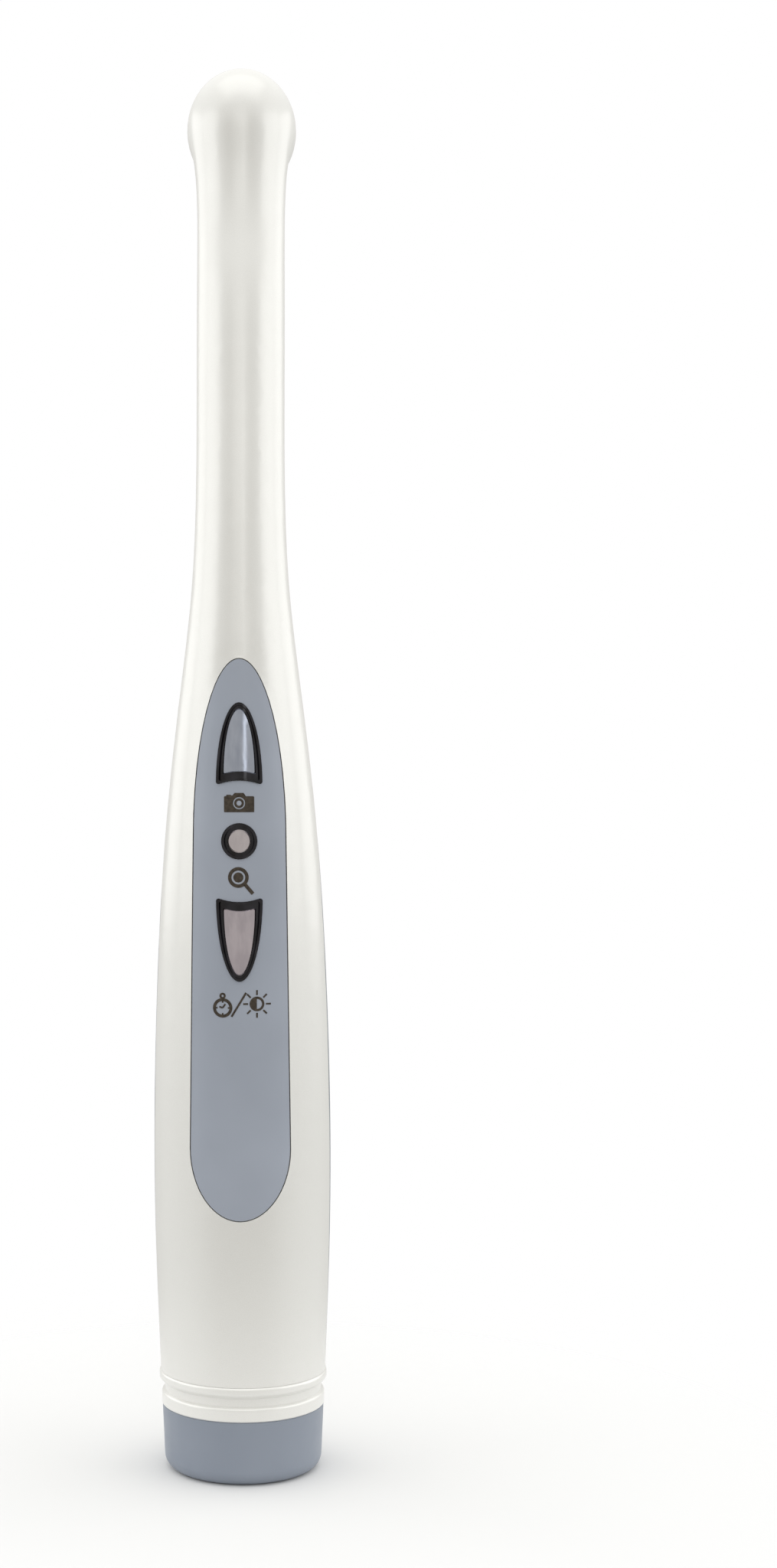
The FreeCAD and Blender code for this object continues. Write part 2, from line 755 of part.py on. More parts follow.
def build_front_buttons():
    """The three buttons that travel straight into the handle."""
    back = size("flange_back")
    spread = size("button_gap") + size("flange_margin")
    for which in ARCHES:
        cap = arch_button_prism(which, 0, back)
        flange = arch_button_prism(which, spread, back)
        height = arch_button_height(which)
        keep_shape(which + "_button", front_button(cap, flange, height))
    cap = round_button_prism(0, back)
    flange = round_button_prism(spread, back)
    keep_shape("middle_button", front_button(cap, flange, size("middle_height")))


REAR_FLANGE_BACK = 1.2
REAR_STEM_RADIUS = 1.5
REAR_SWITCH_TIP = -4.2


def build_rear_button():
    """The round button on the back with its flange and long stem."""
    height = size("rear_height")
    cap = disc_prism(height, size("rear_radius"), REAR_FLANGE_BACK, FAR)
    cap = cap.common(handle_form(size("rear_proud")))
    rim = size("rear_radius") + GAP + size("flange_margin")
    flange = disc_prism(height, rim, REAR_FLANGE_BACK, FAR)
    flange = flange.common(handle_form(-size("wall") - size("slide_gap")))
    stem_end = REAR_SWITCH_TIP + size("button_travel") + SEAT
    stem = disc_prism(height, REAR_STEM_RADIUS, stem_end, REAR_FLANGE_BACK + SEAT)
    keep_shape("rear_button", cap.fuse(flange).fuse(stem))


def build_nameplate():
    """The oval metal plate and the clear window over it."""
    outline = nameplate_prism(0)
    sink = size("plate_sink")
    plate = skin(-sink, -sink - size("plate_thickness")).common(outline)
    keep_shape("nameplate", plate)
    keep_shape("nameplate_window", skin(SEAT, -sink).common(outline))


# ------------------------------------------------------------- base parts
def build_base_cap():
    """The grey screw cap the handpiece stands on, open in the middle for the socket."""
    spigot = "dims.collar_bore - 0.05"
    groove = "dims.collar_bore - 0.85"
    hole = "dims.socket_radius + 0.1"
    flange = "dims.socket_radius + dims.socket_flange + 0.2"
    body = turned("base_cap", [
        (flange, "0"),
        ("dims.cap_foot_radius", "0"),
        ("dims.cap_radius", "dims.cap_height - dims.seam_bevel"),
        ("dims.cap_radius - dims.seam_bevel", "dims.cap_height"),
        (spigot, "dims.cap_height"),
        (spigot, "dims.cap_height + 1.0"),
        (groove, "dims.cap_height + 1.0"),
        (groove, "dims.cap_height + 2.0"),
        (spigot, "dims.cap_height + 2.0"),
        (spigot, "dims.cap_height + 3.0"),
        ("dims.collar_bore - 1.4", "dims.cap_height + 3.0"),
        ("dims.collar_bore - 1.4", "dims.cap_floor"),
        (hole, "dims.cap_floor"),
        (hole, "dims.socket_flange_thickness"),
        (flange, "dims.socket_flange_thickness"),
    ], upright_place(0))
    foot = size("cap_foot_radius")
    round_edges(body, "base_cap_round", "dims.cap_foot_round", lambda r, z: abs(r - foot) < 0.01 and z < 0.01)
    keep(body, "base_cap")


def build_cap_seal():
    """The rubber ring in the groove of the base cap."""
    seal = doc.addObject("Part::Torus", "cap_seal")
    bind(seal, {
        "Radius1": "dims.collar_bore - 0.42",
        "Radius2": "0.4",
        "Placement.Base.z": "dims.cap_height + 1.5",
    })
    keep(seal, "cap_seal")


def build_collar():
    """The white ribbed collar that joins the base cap to the shells."""
    ridge = "dims.collar_radius + dims.collar_ridge"
    waist = "dims.collar_radius - dims.collar_groove"
    tongue = "dims.foot_radius - dims.wall - dims.slide_gap"
    body = turned("ribbed_collar", [
        ("dims.collar_bore", "0"),
        ("dims.collar_radius - dims.seam_bevel", "0"),
        ("dims.collar_radius", "dims.seam_bevel"),
        ("dims.collar_radius", "dims.collar_flat"),
        (waist, "dims.collar_flat + 0.3"),
        (waist, "dims.collar_flat + 1.4"),
        (ridge, "dims.collar_flat + 2.0"),
        (ridge, "dims.collar_height"),
        (tongue, "dims.collar_height"),
        (tongue, "dims.collar_height + 3.0"),
        ("dims.collar_bore", "dims.collar_height + 3.0"),
    ], upright_place(size("cap_height")))
    flat = size("collar_radius")
    rim = flat + size("collar_ridge")
    above = size("collar_flat") / 2
    outer = (flat, rim)
    round_edges(body, "ribbed_collar_round", "0.4",
                lambda r, z: z > above and min(abs(r - wanted) for wanted in outer) < 0.01)
    keep(body, "ribbed_collar")


STICKER_HALF_WIDTH = 4.95
STICKER_HALF_HEIGHT = 3.25
STICKER_HEIGHT = 9.5
STICKER_THICKNESS = 0.07


def build_sticker():
    """The oval foil sticker that bridges the seam between cap and collar."""
    middle = upright(0, STICKER_HEIGHT)
    upper = half_ellipse(middle, STICKER_HALF_WIDTH, STICKER_HALF_HEIGHT)
    lower = half_ellipse(middle, STICKER_HALF_WIDTH, -STICKER_HALF_HEIGHT)
    outline = prism(Part.sortEdges([upper, lower])[0], 0, FAR)
    inner = size("collar_radius") + 0.01
    sheet_outer = Part.makeCylinder(inner + STICKER_THICKNESS, FAR)
    sheet_ring = sheet_outer.cut(Part.makeCylinder(inner, FAR))
    keep_shape("inspection_sticker", sheet_ring.common(outline))


def build_socket():
    """The round cable socket: barrel, insulator, contacts and the nut that holds it."""
    barrel = turned("socket_shell", [
        ("dims.socket_bore", "0"),
        ("dims.socket_radius + dims.socket_flange", "0"),
        ("dims.socket_radius + dims.socket_flange", "dims.socket_flange_thickness"),
        ("dims.socket_radius", "dims.socket_flange_thickness"),
        ("dims.socket_radius", "dims.socket_length"),
        ("dims.insulator_radius", "dims.socket_length"),
        ("dims.insulator_radius", "dims.socket_depth"),
        ("dims.socket_bore", "dims.socket_depth"),
    ], upright_place(0))
    keep(barrel, "socket_shell")
    block_bottom = size("socket_depth") + 0.2
    block_height = size("contact_block")
    core_radius = size("insulator_radius")
    insulator = Part.makeCylinder(core_radius, block_height, Vector(0, 0, block_bottom))
    contacts = []
    for number in range(int(size("contact_count"))):
        angle = 2 * math.pi * (number + 0.5) / size("contact_count")
        x = size("contact_circle") * math.cos(angle)
        y = size("contact_circle") * math.sin(angle)
        foot = Vector(x, y, block_bottom)
        tube = Part.makeCylinder(size("contact_radius"), block_height + size("contact_tail"), foot)
        insulator = insulator.cut(tube)
        inside = size("contact_radius") - size("contact_wall")
        mouth = Part.makeCylinder(inside, block_height * 0.75, foot)
        contacts.append(tube.cut(mouth))
    keep_shape("socket_insulator", insulator)
    keep_shape("socket_contacts", Part.makeCompound(contacts))
    nut = doc.addObject("Part::Prism", "nut_blank")
    nut.Polygon = 6
    bind(nut, {
        "Circumradius": "dims.socket_radius + dims.socket_flange + 0.2",
        "Height": "dims.socket_nut_height",
        "Placement.Base.z": "dims.cap_floor",
    })
    bore = doc.addObject("Part::Cylinder", "nut_bore")
    bind(bore, {"Radius": "dims.socket_radius", "Height": "20"})
    keep(cut("socket_nut", nut, [bore]), "socket_nut")


# ------------------------------------------------------------- camera head
def build_bezel():
    """The chrome ring round the window."""
    skirt = "dims.bezel_skirt"
    front = "dims.bezel_skirt + dims.bezel_thickness"
    body = turned("head_bezel", [
        ("dims.bezel_bore", "0"),
        ("dims.head_bore", "0"),
        ("dims.head_bore", skirt),
        ("dims.bezel_radius", skirt),
        ("dims.bezel_radius", front + " - dims.bezel_bevel"),
        ("dims.bezel_radius - dims.bezel_bevel", front),
        ("dims.bezel_bore", front),
    ], lens_place(size("head_face") - size("bezel_skirt")))
    keep(body, "head_bezel")


def light_board_front():
    """Y of the front of the light board, where the chips and cover sit."""
    return size("head_face") - size("bezel_skirt")


def build_light_cover():
    """The clear cover over the light chips."""
    total = "dims.bezel_skirt + dims.bezel_thickness + dims.cover_proud"
    inner = total + " - dims.cover_plate"
    hub = "dims.barrel_radius + dims.slide_gap"
    body = turned("led_cover", [
        ("dims.cover_radius - dims.cover_wall", "0"),
        ("dims.cover_radius", "0"),
        ("dims.cover_radius", total + " - dims.cover_bevel"),
        ("dims.cover_radius - dims.cover_bevel", total),
        (hub, total),
        (hub, "0"),
        (hub + " + dims.cover_hub_wall", "0"),
        (hub + " + dims.cover_hub_wall", inner),
        ("dims.cover_radius - dims.cover_wall", inner),
    ], lens_place(light_board_front()))
    keep(body, "led_cover")


def build_light_board():
    """The ring-shaped board behind the cover and its chips."""
    body = turned("led_board", [
        ("dims.barrel_radius + dims.slide_gap", "0"),
        ("dims.head_bore - 0.05", "0"),
        ("dims.head_bore - 0.05", "dims.board_thickness"),
        ("dims.barrel_radius + dims.slide_gap", "dims.board_thickness"),
    ], lens_place(light_board_front() - size("board_thickness")))
    keep(body, "led_board")
    chips = []
    axis = Vector(0, 1, 0)
    centre = Vector(0, 0, size("lens_height"))
    wide = size("led_width")
    tall = size("led_length")
    count = int(size("led_count"))
    for number in range(count):
        chip = Part.makeBox(wide, size("led_height"), tall)
        chip.translate(Vector(-wide / 2, light_board_front(), centre.z + size("led_circle") - tall / 2))
        chip.rotate(centre, axis, 360.0 * number / count)
        chips.append(chip)
    keep_shape("leds", Part.makeCompound(chips))


def lens_disc(label, radius, thickness, seat):
    """A plain round optical element on the camera axis."""
    disc = turned(label, [("0", "0"), (radius, "0"), (radius, thickness), ("0", thickness)], lens_place(seat))
    keep(disc, label)


def build_optics():
    """The black barrel, the glass in it and the thin metal ring round it."""
    cover_face = "dims.head_face + dims.bezel_thickness + dims.cover_proud"
    tip = cover_face + " + dims.barrel_proud - dims.sensor_face"
    step = tip + " - dims.nose_length"
    seat = "dims.lens_seat - dims.sensor_face"
    body = turned("lens_barrel", [
        ("dims.barrel_flange_bore", "0"),
        ("dims.barrel_flange_radius", "0"),
        ("dims.barrel_flange_radius", "dims.barrel_flange_length"),
        ("dims.barrel_radius", "dims.barrel_flange_length"),
        ("dims.barrel_radius", step),
        ("dims.barrel_nose_radius", step + " + 0.3"),
        ("dims.barrel_nose_radius", tip),
        ("dims.lens_radius", tip),
        ("dims.lens_radius", seat),
        ("dims.optic_radius", seat),
        ("dims.optic_radius", "dims.barrel_flange_depth"),
        ("dims.barrel_flange_bore", "dims.barrel_flange_depth"),
    ], lens_place(size("sensor_face")))
    keep(body, "lens_barrel")
    lens_disc("front_lens", "dims.lens_radius", "dims.lens_thickness", size("lens_seat"))
    lens_disc("rear_lens", "dims.optic_radius", "dims.rear_lens_thickness", size("rear_lens_seat"))
    lens_disc("ir_filter", "dims.optic_radius", "dims.filter_thickness", size("filter_seat"))
    trim = turned("barrel_trim_ring", [
        ("dims.barrel_radius", "0"),
        ("dims.barrel_radius + dims.barrel_trim_width", "0"),
        ("dims.barrel_radius + dims.barrel_trim_width", "dims.barrel_trim_thickness"),
        ("dims.barrel_radius", "dims.barrel_trim_thickness"),
    ], lens_place(worked_out(cover_face)))
    keep(trim, "barrel_trim_ring")


def build_sensor():
    """The image sensor on its board, with the connector behind it."""
    axis = "dims.lens_height"
    sensor = block("image_sensor", "dims.sensor_width", "dims.sensor_thickness", "dims.sensor_tall",
                   "0", "dims.sensor_face", axis)
    keep(sensor, "image_sensor")
    side = "dims.sensor_board_side"
    back = "dims.sensor_face - dims.board_thickness"
    keep(block("sensor_board", side, "dims.board_thickness", side, "0", back, axis), "sensor_board")
    plug = block("sensor_connector", "dims.plug_width", "dims.plug_thickness", "dims.plug_tall",
                 "0", back + " - dims.plug_thickness", "dims.lens_height - dims.plug_drop")
    keep(plug, "sensor_connector")


# ------------------------------------------------------------- electronics
def ribbon(points, half_width, thickness):
    """A flat cable that follows a curve in the YZ plane."""
    near = Part.BSplineCurve()
    near.interpolate([Vector(0, y - thickness / 2, z) for y, z in points])
    far = Part.BSplineCurve()
    far.interpolate([Vector(0, y + thickness / 2, z) for y, z in points])
    edges = [
        near.toShape(),
        line(near.EndPoint, far.EndPoint),
        far.toShape(),
        line(far.StartPoint, near.StartPoint),
    ]
    face = Part.Face(Part.Wire(Part.sortEdges(edges)[0]))
    face.translate(Vector(-half_width, 0, 0))
    return face.extrude(Vector(2 * half_width, 0, 0))


def build_flex_cable():
    """The flat cable that runs down the neck from the sensor to the main board."""
    start = size("sensor_face") - size("board_thickness") - size("plug_thickness") / 2
    board_back = size("main_board_front") + size("main_board_thickness")
    plug_foot = size("lens_height") - size("plug_drop") - size("plug_tall") / 2
    points = [(start, plug_foot), (start + 0.3, 184.0)]
    for height in (172.0, 156.0, 140.0, 126.0):
        points.append((centre_offset(height), height))
    plug_top = size("flex_plug_height") + size("flex_plug_tall") / 2
    points.append((board_back + 0.9, plug_top + 2.4))
    points.append((board_back + size("flex_plug_depth") / 2, plug_top))
    keep_shape("flex_cable", ribbon(points, size("flex_half_width"), size("flex_thickness")))


def build_main_board():
    """The long board behind the buttons with its chips, connectors and switches."""
    middle = "(dims.main_board_bottom + dims.main_board_top) / 2"
    tall = "dims.main_board_top - dims.main_board_bottom"
    front = "dims.main_board_front"
    thick = "dims.main_board_thickness"
    back = "dims.main_board_front + dims.main_board_thickness"
    blank = block("main_board_blank", "2 * dims.main_board_half_width", thick, tall, "0", front, middle)
    holes = []
    for number, (x, z) in enumerate(board_screw_places()):
        hole = rod("board_hole_%d" % number, "0.6", "4", str(x), front + " - 1", str(z))
        holes.append(hole)
    keep(cut("main_board", blank, holes), "main_board")
    side = "dims.processor_side"
    processor = block("processor_chip", side, "dims.processor_thickness", side, "0", back, "dims.processor_height")
    keep(processor, "processor_chip")
    chips = []
    for number in range(2):
        height = "dims.memory_height + %d * dims.memory_pitch" % number
        chips.append(block("memory_%d" % number, "dims.memory_width", "dims.memory_thickness",
                           "dims.memory_tall", "0", back, height))
    keep(group("memory_chips", chips), "memory_chips")
    for label, plug in (("flex_connector", "dims.flex_plug"), ("harness_connector", "dims.wire_plug")):
        keep(block(label, plug + "_width", plug + "_depth", plug + "_tall", "0", back, plug + "_height"), label)


def build_switches():
    """The click switches under the buttons."""
    face = "dims.main_board_front - dims.switch_depth"
    side = "dims.switch_side"
    switches = []
    for which in ("upper", "middle", "lower"):
        height = str(size("middle_height") if which == "middle" else arch_button_height(which))
        body = block(which + "_switch_body", side, "dims.switch_depth", side, "0", face, height)
        plunger = rod(which + "_switch_plunger", "dims.plunger_radius", face + " - dims.switch_tip",
                      "0", "dims.switch_tip", height)
        switches.append(fused(which + "_switch", [body, plunger]))
    keep(group("front_switches", switches), "front_switches")
    back = "dims.main_board_front + dims.main_board_thickness"
    side = "dims.rear_switch_side"
    body = block("rear_switch_body", side, "dims.rear_switch_depth", side, "0", back, "dims.rear_height")
    face = back + " + dims.rear_switch_depth"
    plunger = rod("rear_switch_plunger", "dims.rear_plunger_radius", "%s - (%s)" % (REAR_SWITCH_TIP, face),
                  "0", face, "dims.rear_height")
    keep(fused("rear_switch", [body, plunger]), "rear_switch")


def screw(name, head_radius, head_length, radius, x, head_y, end_y, z):
    """A pan-head screw along Y, with its head towards +Y."""
    head = rod(name + "_head", str(head_radius), str(head_length), str(x), str(head_y), str(z))
    length = head_y - end_y
    shank = rod(name + "_shank", str(radius), str(length), str(x), str(end_y), str(z))
    slot = block(name + "_slot", str(head_radius * 1.3), "0.5", "0.35", str(x),
                 str(head_y + head_length - 0.4), str(z))
    return cut(name, fused(name + "_blank", [head, shank]), [slot])


def build_screws():
    """The screws of the main board and the two long shell screws."""
    back = size("main_board_front") + size("main_board_thickness")
    screws = []
    for number, (x, z) in enumerate(board_screw_places()):
        screws.append(screw("board_screw_%d" % number, 1.1, 0.8, BOARD_SCREW_RADIUS,
                            x, back, BOARD_SCREW_END, z))
    keep(group("board_screws", screws), "board_screws")
    screws = []
    for number, z in enumerate(SHELL_SCREW_HEIGHTS):
        screws.append(screw("shell_screw_%d" % number, SHELL_SCREW_HEAD_RADIUS,
                            SHELL_SCREW_HEAD_LENGTH, SHELL_SCREW_RADIUS,
                            0, SHELL_SCREW_HEAD_SEAT, SHELL_SCREW_END, z))
    keep(group("shell_screws", screws), "shell_screws")


HARNESS_RADIUS = 1.2
HARNESS_ROUTE = [
    Vector(0, 0, 12.05),
    Vector(0.6, 0, 17.0),
    Vector(4.9, 0.2, 25.0),
    Vector(4.9, -0.6, 35.0),
    Vector(3.6, -4.0, 44.0),
    Vector(0.4, -6.0, 51.5),
    Vector(0, -6.3, 57.35),
]


def rounded_path(route):
    """Straight runs joined by arcs that touch both of their runs."""
    edges = []
    start = route[0]
    for before, corner, after in zip(route[:-2], route[1:-1], route[2:]):
        reach = 0.45 * min(before.distanceToPoint(corner), corner.distanceToPoint(after))
        inward = (before - corner).normalize()
        outward = (after - corner).normalize()
        touch_in = corner + inward * reach
        touch_out = corner + outward * reach
        half_turn = (math.pi - inward.getAngle(outward)) / 2
        radius = reach / math.tan(half_turn)
        bisector = (inward + outward).normalize()
        middle = corner + bisector * (math.hypot(radius, reach) - radius)
        edges.append(line(start, touch_in))
        edges.append(arc(touch_in, middle, touch_out))
        start = touch_out
    edges.append(line(start, route[-1]))
    return Part.Wire(edges)


def build_harness():
    """The round bundle of wires from the socket to the main board."""
    path = rounded_path(HARNESS_ROUTE)
    direction = HARNESS_ROUTE[1] - HARNESS_ROUTE[0]
    ring = Part.Circle(HARNESS_ROUTE[0], direction, HARNESS_RADIUS)
    bundle = path.makePipeShell([Part.Wire([ring.toShape()])], True, False)
    keep_shape("wire_harness", bundle)


# -------------------------------------------------------------- build all
build_shells()
build_side_trims()
build_control_panel()
build_button_frames()
build_front_buttons()
build_rear_button()
build_nameplate()
build_base_cap()
build_cap_seal()
build_collar()
build_sticker()
build_socket()
build_bezel()
build_light_cover()
build_light_board()
build_optics()
build_sensor()
build_flex_cable()
build_main_board()
build_switches()
build_screws()
build_harness()

doc.recompute()

for feature in doc.Objects:
    if "Invalid" in feature.State or "Error" in feature.State:
        raise RuntimeError("%s did not build: %s" % (feature.Label, feature.State))

os.makedirs("parts", exist_ok=True)
for feature in NODES:
    if feature.Shape.isNull() or not feature.Shape.isValid():
        raise RuntimeError("%s has no sound shape" % feature.Label)
    feature.Shape.exportStep("parts/%s.step" % feature.Label)
    solids = feature.Shape.Solids
    print(feature.Label, len(solids), round(feature.Shape.Volume, 2))
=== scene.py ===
import math

import bmesh
import bpy
from mathutils import Matrix, Vector
from mathutils.bvhtree import BVHTree


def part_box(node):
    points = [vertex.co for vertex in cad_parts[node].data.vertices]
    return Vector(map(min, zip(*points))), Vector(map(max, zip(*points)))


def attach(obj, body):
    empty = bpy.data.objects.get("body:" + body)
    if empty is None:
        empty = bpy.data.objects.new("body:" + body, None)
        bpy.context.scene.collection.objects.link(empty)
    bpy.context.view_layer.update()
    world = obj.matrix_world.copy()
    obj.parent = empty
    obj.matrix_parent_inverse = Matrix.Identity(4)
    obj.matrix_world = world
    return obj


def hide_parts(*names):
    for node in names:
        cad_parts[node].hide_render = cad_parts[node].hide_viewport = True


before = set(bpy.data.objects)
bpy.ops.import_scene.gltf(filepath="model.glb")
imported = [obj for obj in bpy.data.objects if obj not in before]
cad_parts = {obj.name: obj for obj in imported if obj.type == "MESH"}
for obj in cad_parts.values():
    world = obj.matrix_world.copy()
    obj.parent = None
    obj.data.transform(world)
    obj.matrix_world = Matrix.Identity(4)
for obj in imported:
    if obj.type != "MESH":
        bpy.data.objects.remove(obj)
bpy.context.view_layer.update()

# Intraoral camera, standing on its base.  The control panel faces -Y and the
# camera window faces +Y.  Every place below is worked out from the frame.

MM = 0.001
FRONT = Vector((0, -1, 0))
BACK = Vector((0, 1, 0))


def middle_of(node):
    """The middle of a CAD node's box."""
    low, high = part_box(node)
    return (low + high) / 2


def low_of(node):
    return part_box(node)[0]


def high_of(node):
    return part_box(node)[1]


# ------------------------------------------------------------------ shaders
class Shader:
    """A material with one Principled surface and short calls for its patterns."""

    def __init__(self, name, **sockets):
        self.material = bpy.data.materials.new(name)
        self.material.use_nodes = True
        self.nodes = self.material.node_tree.nodes
        self.links = self.material.node_tree.links
        self.surface = self.nodes["Principled BSDF"]
        for label, value in sockets.items():
            self.surface.inputs[label.replace("_", " ")].default_value = value
        self.place = self.nodes.new("ShaderNodeTexCoord").outputs["Object"]

    def noise(self, grain, detail=2.0, stretch=(1, 1, 1)):
        """Noise whose grains are about that many metres across."""
        mapping = self.nodes.new("ShaderNodeMapping")
        mapping.inputs["Scale"].default_value = stretch
        self.links.new(self.place, mapping.inputs["Vector"])
        texture = self.nodes.new("ShaderNodeTexNoise")
        texture.inputs["Scale"].default_value = 1.0 / grain
        texture.inputs["Detail"].default_value = detail
        self.links.new(mapping.outputs["Vector"], texture.inputs["Vector"])
        return texture.outputs["Fac"]

    def ramp(self, source, stops):
        """A colour ramp; each stop is a place and a colour."""
        ramp = self.nodes.new("ShaderNodeValToRGB")
        elements = ramp.color_ramp.elements
        for index, (place, colour) in enumerate(stops):
            element = elements[index] if index < 2 else elements.new(place)
            element.position = place
            element.color = (*colour, 1.0)
        self.links.new(source, ramp.inputs["Fac"])
        return ramp.outputs["Color"]

    def spread(self, source, low, high):
        """The source's middle range laid out between two values."""
        remap = self.nodes.new("ShaderNodeMapRange")
        remap.inputs["From Min"].default_value = 0.3
        remap.inputs["From Max"].default_value = 0.7
        remap.inputs["To Min"].default_value = low
        remap.inputs["To Max"].default_value = high
        self.links.new(source, remap.inputs["Value"])
        return remap.outputs["Result"]

    def use(self, output, socket):
        self.links.new(output, self.surface.inputs[socket])

    def bump(self, source, strength, distance):
        """Relief on the surface, adding to any relief there already."""
        bump = self.nodes.new("ShaderNodeBump")
        bump.inputs["Strength"].default_value = strength
        bump.inputs["Distance"].default_value = distance
        self.links.new(source, bump.inputs["Height"])
        normal = self.surface.inputs["Normal"]
        if normal.links:
            self.links.new(normal.links[0].from_socket, bump.inputs["Normal"])
        self.links.new(bump.outputs["Normal"], normal)


def pearl_white():
    """Gloss white paint with fine mica in it."""
    shader = Shader("pearl_white", Metallic=0.3, Coat_Weight=0.3, Coat_Roughness=0.1)
    mica = shader.noise(0.07 * MM, 1.0)
    shader.use(shader.ramp(mica, [(0.3, (0.785, 0.78, 0.75)), (0.7, (0.83, 0.825, 0.80))]), "Base Color")
    shader.use(shader.spread(shader.noise(3 * MM), 0.30, 0.34), "Roughness")
    shader.bump(shader.noise(4 * MM, 1.0), 0.1, 0.01 * MM)
    return shader.material


def soft_plastic(name, dark, light, roughness):
    """Satin plastic with a moulded grain and slow changes of tone."""
    shader = Shader(name, Specular_IOR_Level=0.45)
    cloud = shader.noise(14 * MM, 2.0)
    shader.use(shader.ramp(cloud, [(0.3, dark), (0.7, light)]), "Base Color")
    shader.use(shader.spread(shader.noise(2 * MM), roughness - 0.05, roughness + 0.05), "Roughness")
    shader.bump(shader.noise(0.16 * MM, 2.0), 0.2, 0.02 * MM)
    return shader.material


def mirror_metal(name, dark, light, roughness, grain=1.2 * MM):
    """Bright plated metal with faint smears and wear."""
    shader = Shader(name, Metallic=1.0)
    smear = shader.noise(grain, 3.0, (1.0, 1.0, 0.35))
    shader.use(shader.ramp(smear, [(0.3, dark), (0.7, light)]), "Base Color")
    shader.use(shader.spread(smear, roughness, roughness * 2.0), "Roughness")
    shader.bump(shader.noise(0.3 * MM, 2.0), 0.05, 0.01 * MM)
    return shader.material


def black_gloss():
    """Glossy black frame with faint bluish smears in its coat."""
    shader = Shader("black_gloss", IOR=1.4, Coat_Roughness=0.04, Coat_Tint=(0.75, 0.75, 1.0, 1.0))
    smear = shader.noise(1.8 * MM, 2.0, (1.0, 1.0, 0.6))
    shader.use(shader.spread(smear, 0.0, 0.9), "Coat Weight")
    cloud = shader.noise(1.6 * MM, 2.0)
    stops = [(0.3, (0.002, 0.002, 0.003)), (0.7, (0.009, 0.007, 0.009))]
    shader.use(shader.ramp(cloud, stops), "Base Color")
    shader.use(shader.spread(cloud, 0.05, 0.11), "Roughness")
    return shader.material


def clear_plastic(name, tint, roughness=0.02, index=1.57):
    """Clear moulded plastic."""
    shader = Shader(name, Base_Color=(*tint, 1.0), Transmission_Weight=1.0, IOR=index)
    shader.use(shader.spread(shader.noise(2 * MM), roughness, roughness + 0.03), "Roughness")
    shader.bump(shader.noise(3 * MM, 1.0), 0.05, 0.01 * MM)
    return shader.material


def foil():
    """Silvery sticker foil with faint coloured streaks."""
    shader = Shader("sticker_foil", Metallic=0.75)
    streak = shader.noise(1.5 * MM, 3.0, (1.0, 1.0, 0.4))
    tones = [(0.3, (0.36, 0.40, 0.41)), (0.5, (0.52, 0.53, 0.53)), (0.7, (0.60, 0.57, 0.55))]
    shader.use(shader.ramp(streak, tones), "Base Color")
    shader.use(shader.spread(shader.noise(0.6 * MM), 0.28, 0.42), "Roughness")
    shader.bump(shader.noise(0.8 * MM, 2.0), 0.15, 0.02 * MM)
    return shader.material


def nameplate_metal():
    """Satin silver plate, brushed along the handle, bluish at its upper end."""
    shader = Shader("nameplate_metal", Metallic=0.35)
    brushed = shader.noise(0.25 * MM, 3.0, (1.0, 1.0, 0.03))
    height = shader.nodes.new("ShaderNodeSeparateXYZ")
    shader.links.new(shader.place, height.inputs["Vector"])
    share = shader.nodes.new("ShaderNodeMapRange")
    share.inputs["From Min"].default_value = middle_of("nameplate").z
    share.inputs["From Max"].default_value = high_of("nameplate").z
    shader.links.new(height.outputs["Z"], share.inputs["Value"])
    tone = shader.ramp(share.outputs["Result"], [(0.2, (0.94, 0.94, 0.93)), (1.0, (0.66, 0.78, 0.86))])
    shader.use(tone, "Base Color")
    shader.use(shader.spread(brushed, 0.25, 0.40), "Roughness")
    shader.bump(brushed, 0.08, 0.01 * MM)
    return shader.material


def print_ink():
    """Dark brown-grey printing ink, a little uneven."""
    shader = Shader("print_ink", Specular_IOR_Level=0.3)
    blot = shader.noise(0.45 * MM, 3.0)
    shader.use(shader.ramp(blot, [(0.3, (0.030, 0.023, 0.016)), (0.7, (0.075, 0.058, 0.042))]), "Base Color")
    shader.use(shader.spread(blot, 0.4, 0.6), "Roughness")
    shader.bump(blot, 0.2, 0.01 * MM)
    return shader.material


def phosphor():
    """The yellow phosphor layer of a white light chip, with a faint glow that is painted light."""
    shader = Shader("phosphor", Subsurface_Weight=0.2, Subsurface_Radius=(0.0004, 0.0003, 0.0001))
    grain = shader.noise(0.12 * MM, 2.0)
    yellow = shader.ramp(grain, [(0.35, (0.76, 0.78, 0.08)), (0.65, (0.88, 0.90, 0.26))])
    shader.use(yellow, "Base Color")
    # Painted light: the emission stands in for the light that reaches the chips through the clear cover; the
    # chips are not lamps.
    shader.use(yellow, "Emission Color")
    shader.surface.inputs["Emission Strength"].default_value = 0.5
    shader.use(shader.spread(grain, 0.4, 0.55), "Roughness")
    return shader.material


def plain_plastic(name, dark, light, roughness, grain=0.5 * MM):
    """Moulded or coated plastic for the small and inner parts."""
    shader = Shader(name)
    cloud = shader.noise(grain, 3.0)
    shader.use(shader.ramp(cloud, [(0.35, dark), (0.65, light)]), "Base Color")
    shader.use(shader.spread(cloud, roughness - 0.06, roughness + 0.06), "Roughness")
    shader.bump(cloud, 0.12, 0.02 * MM)
    return shader.material


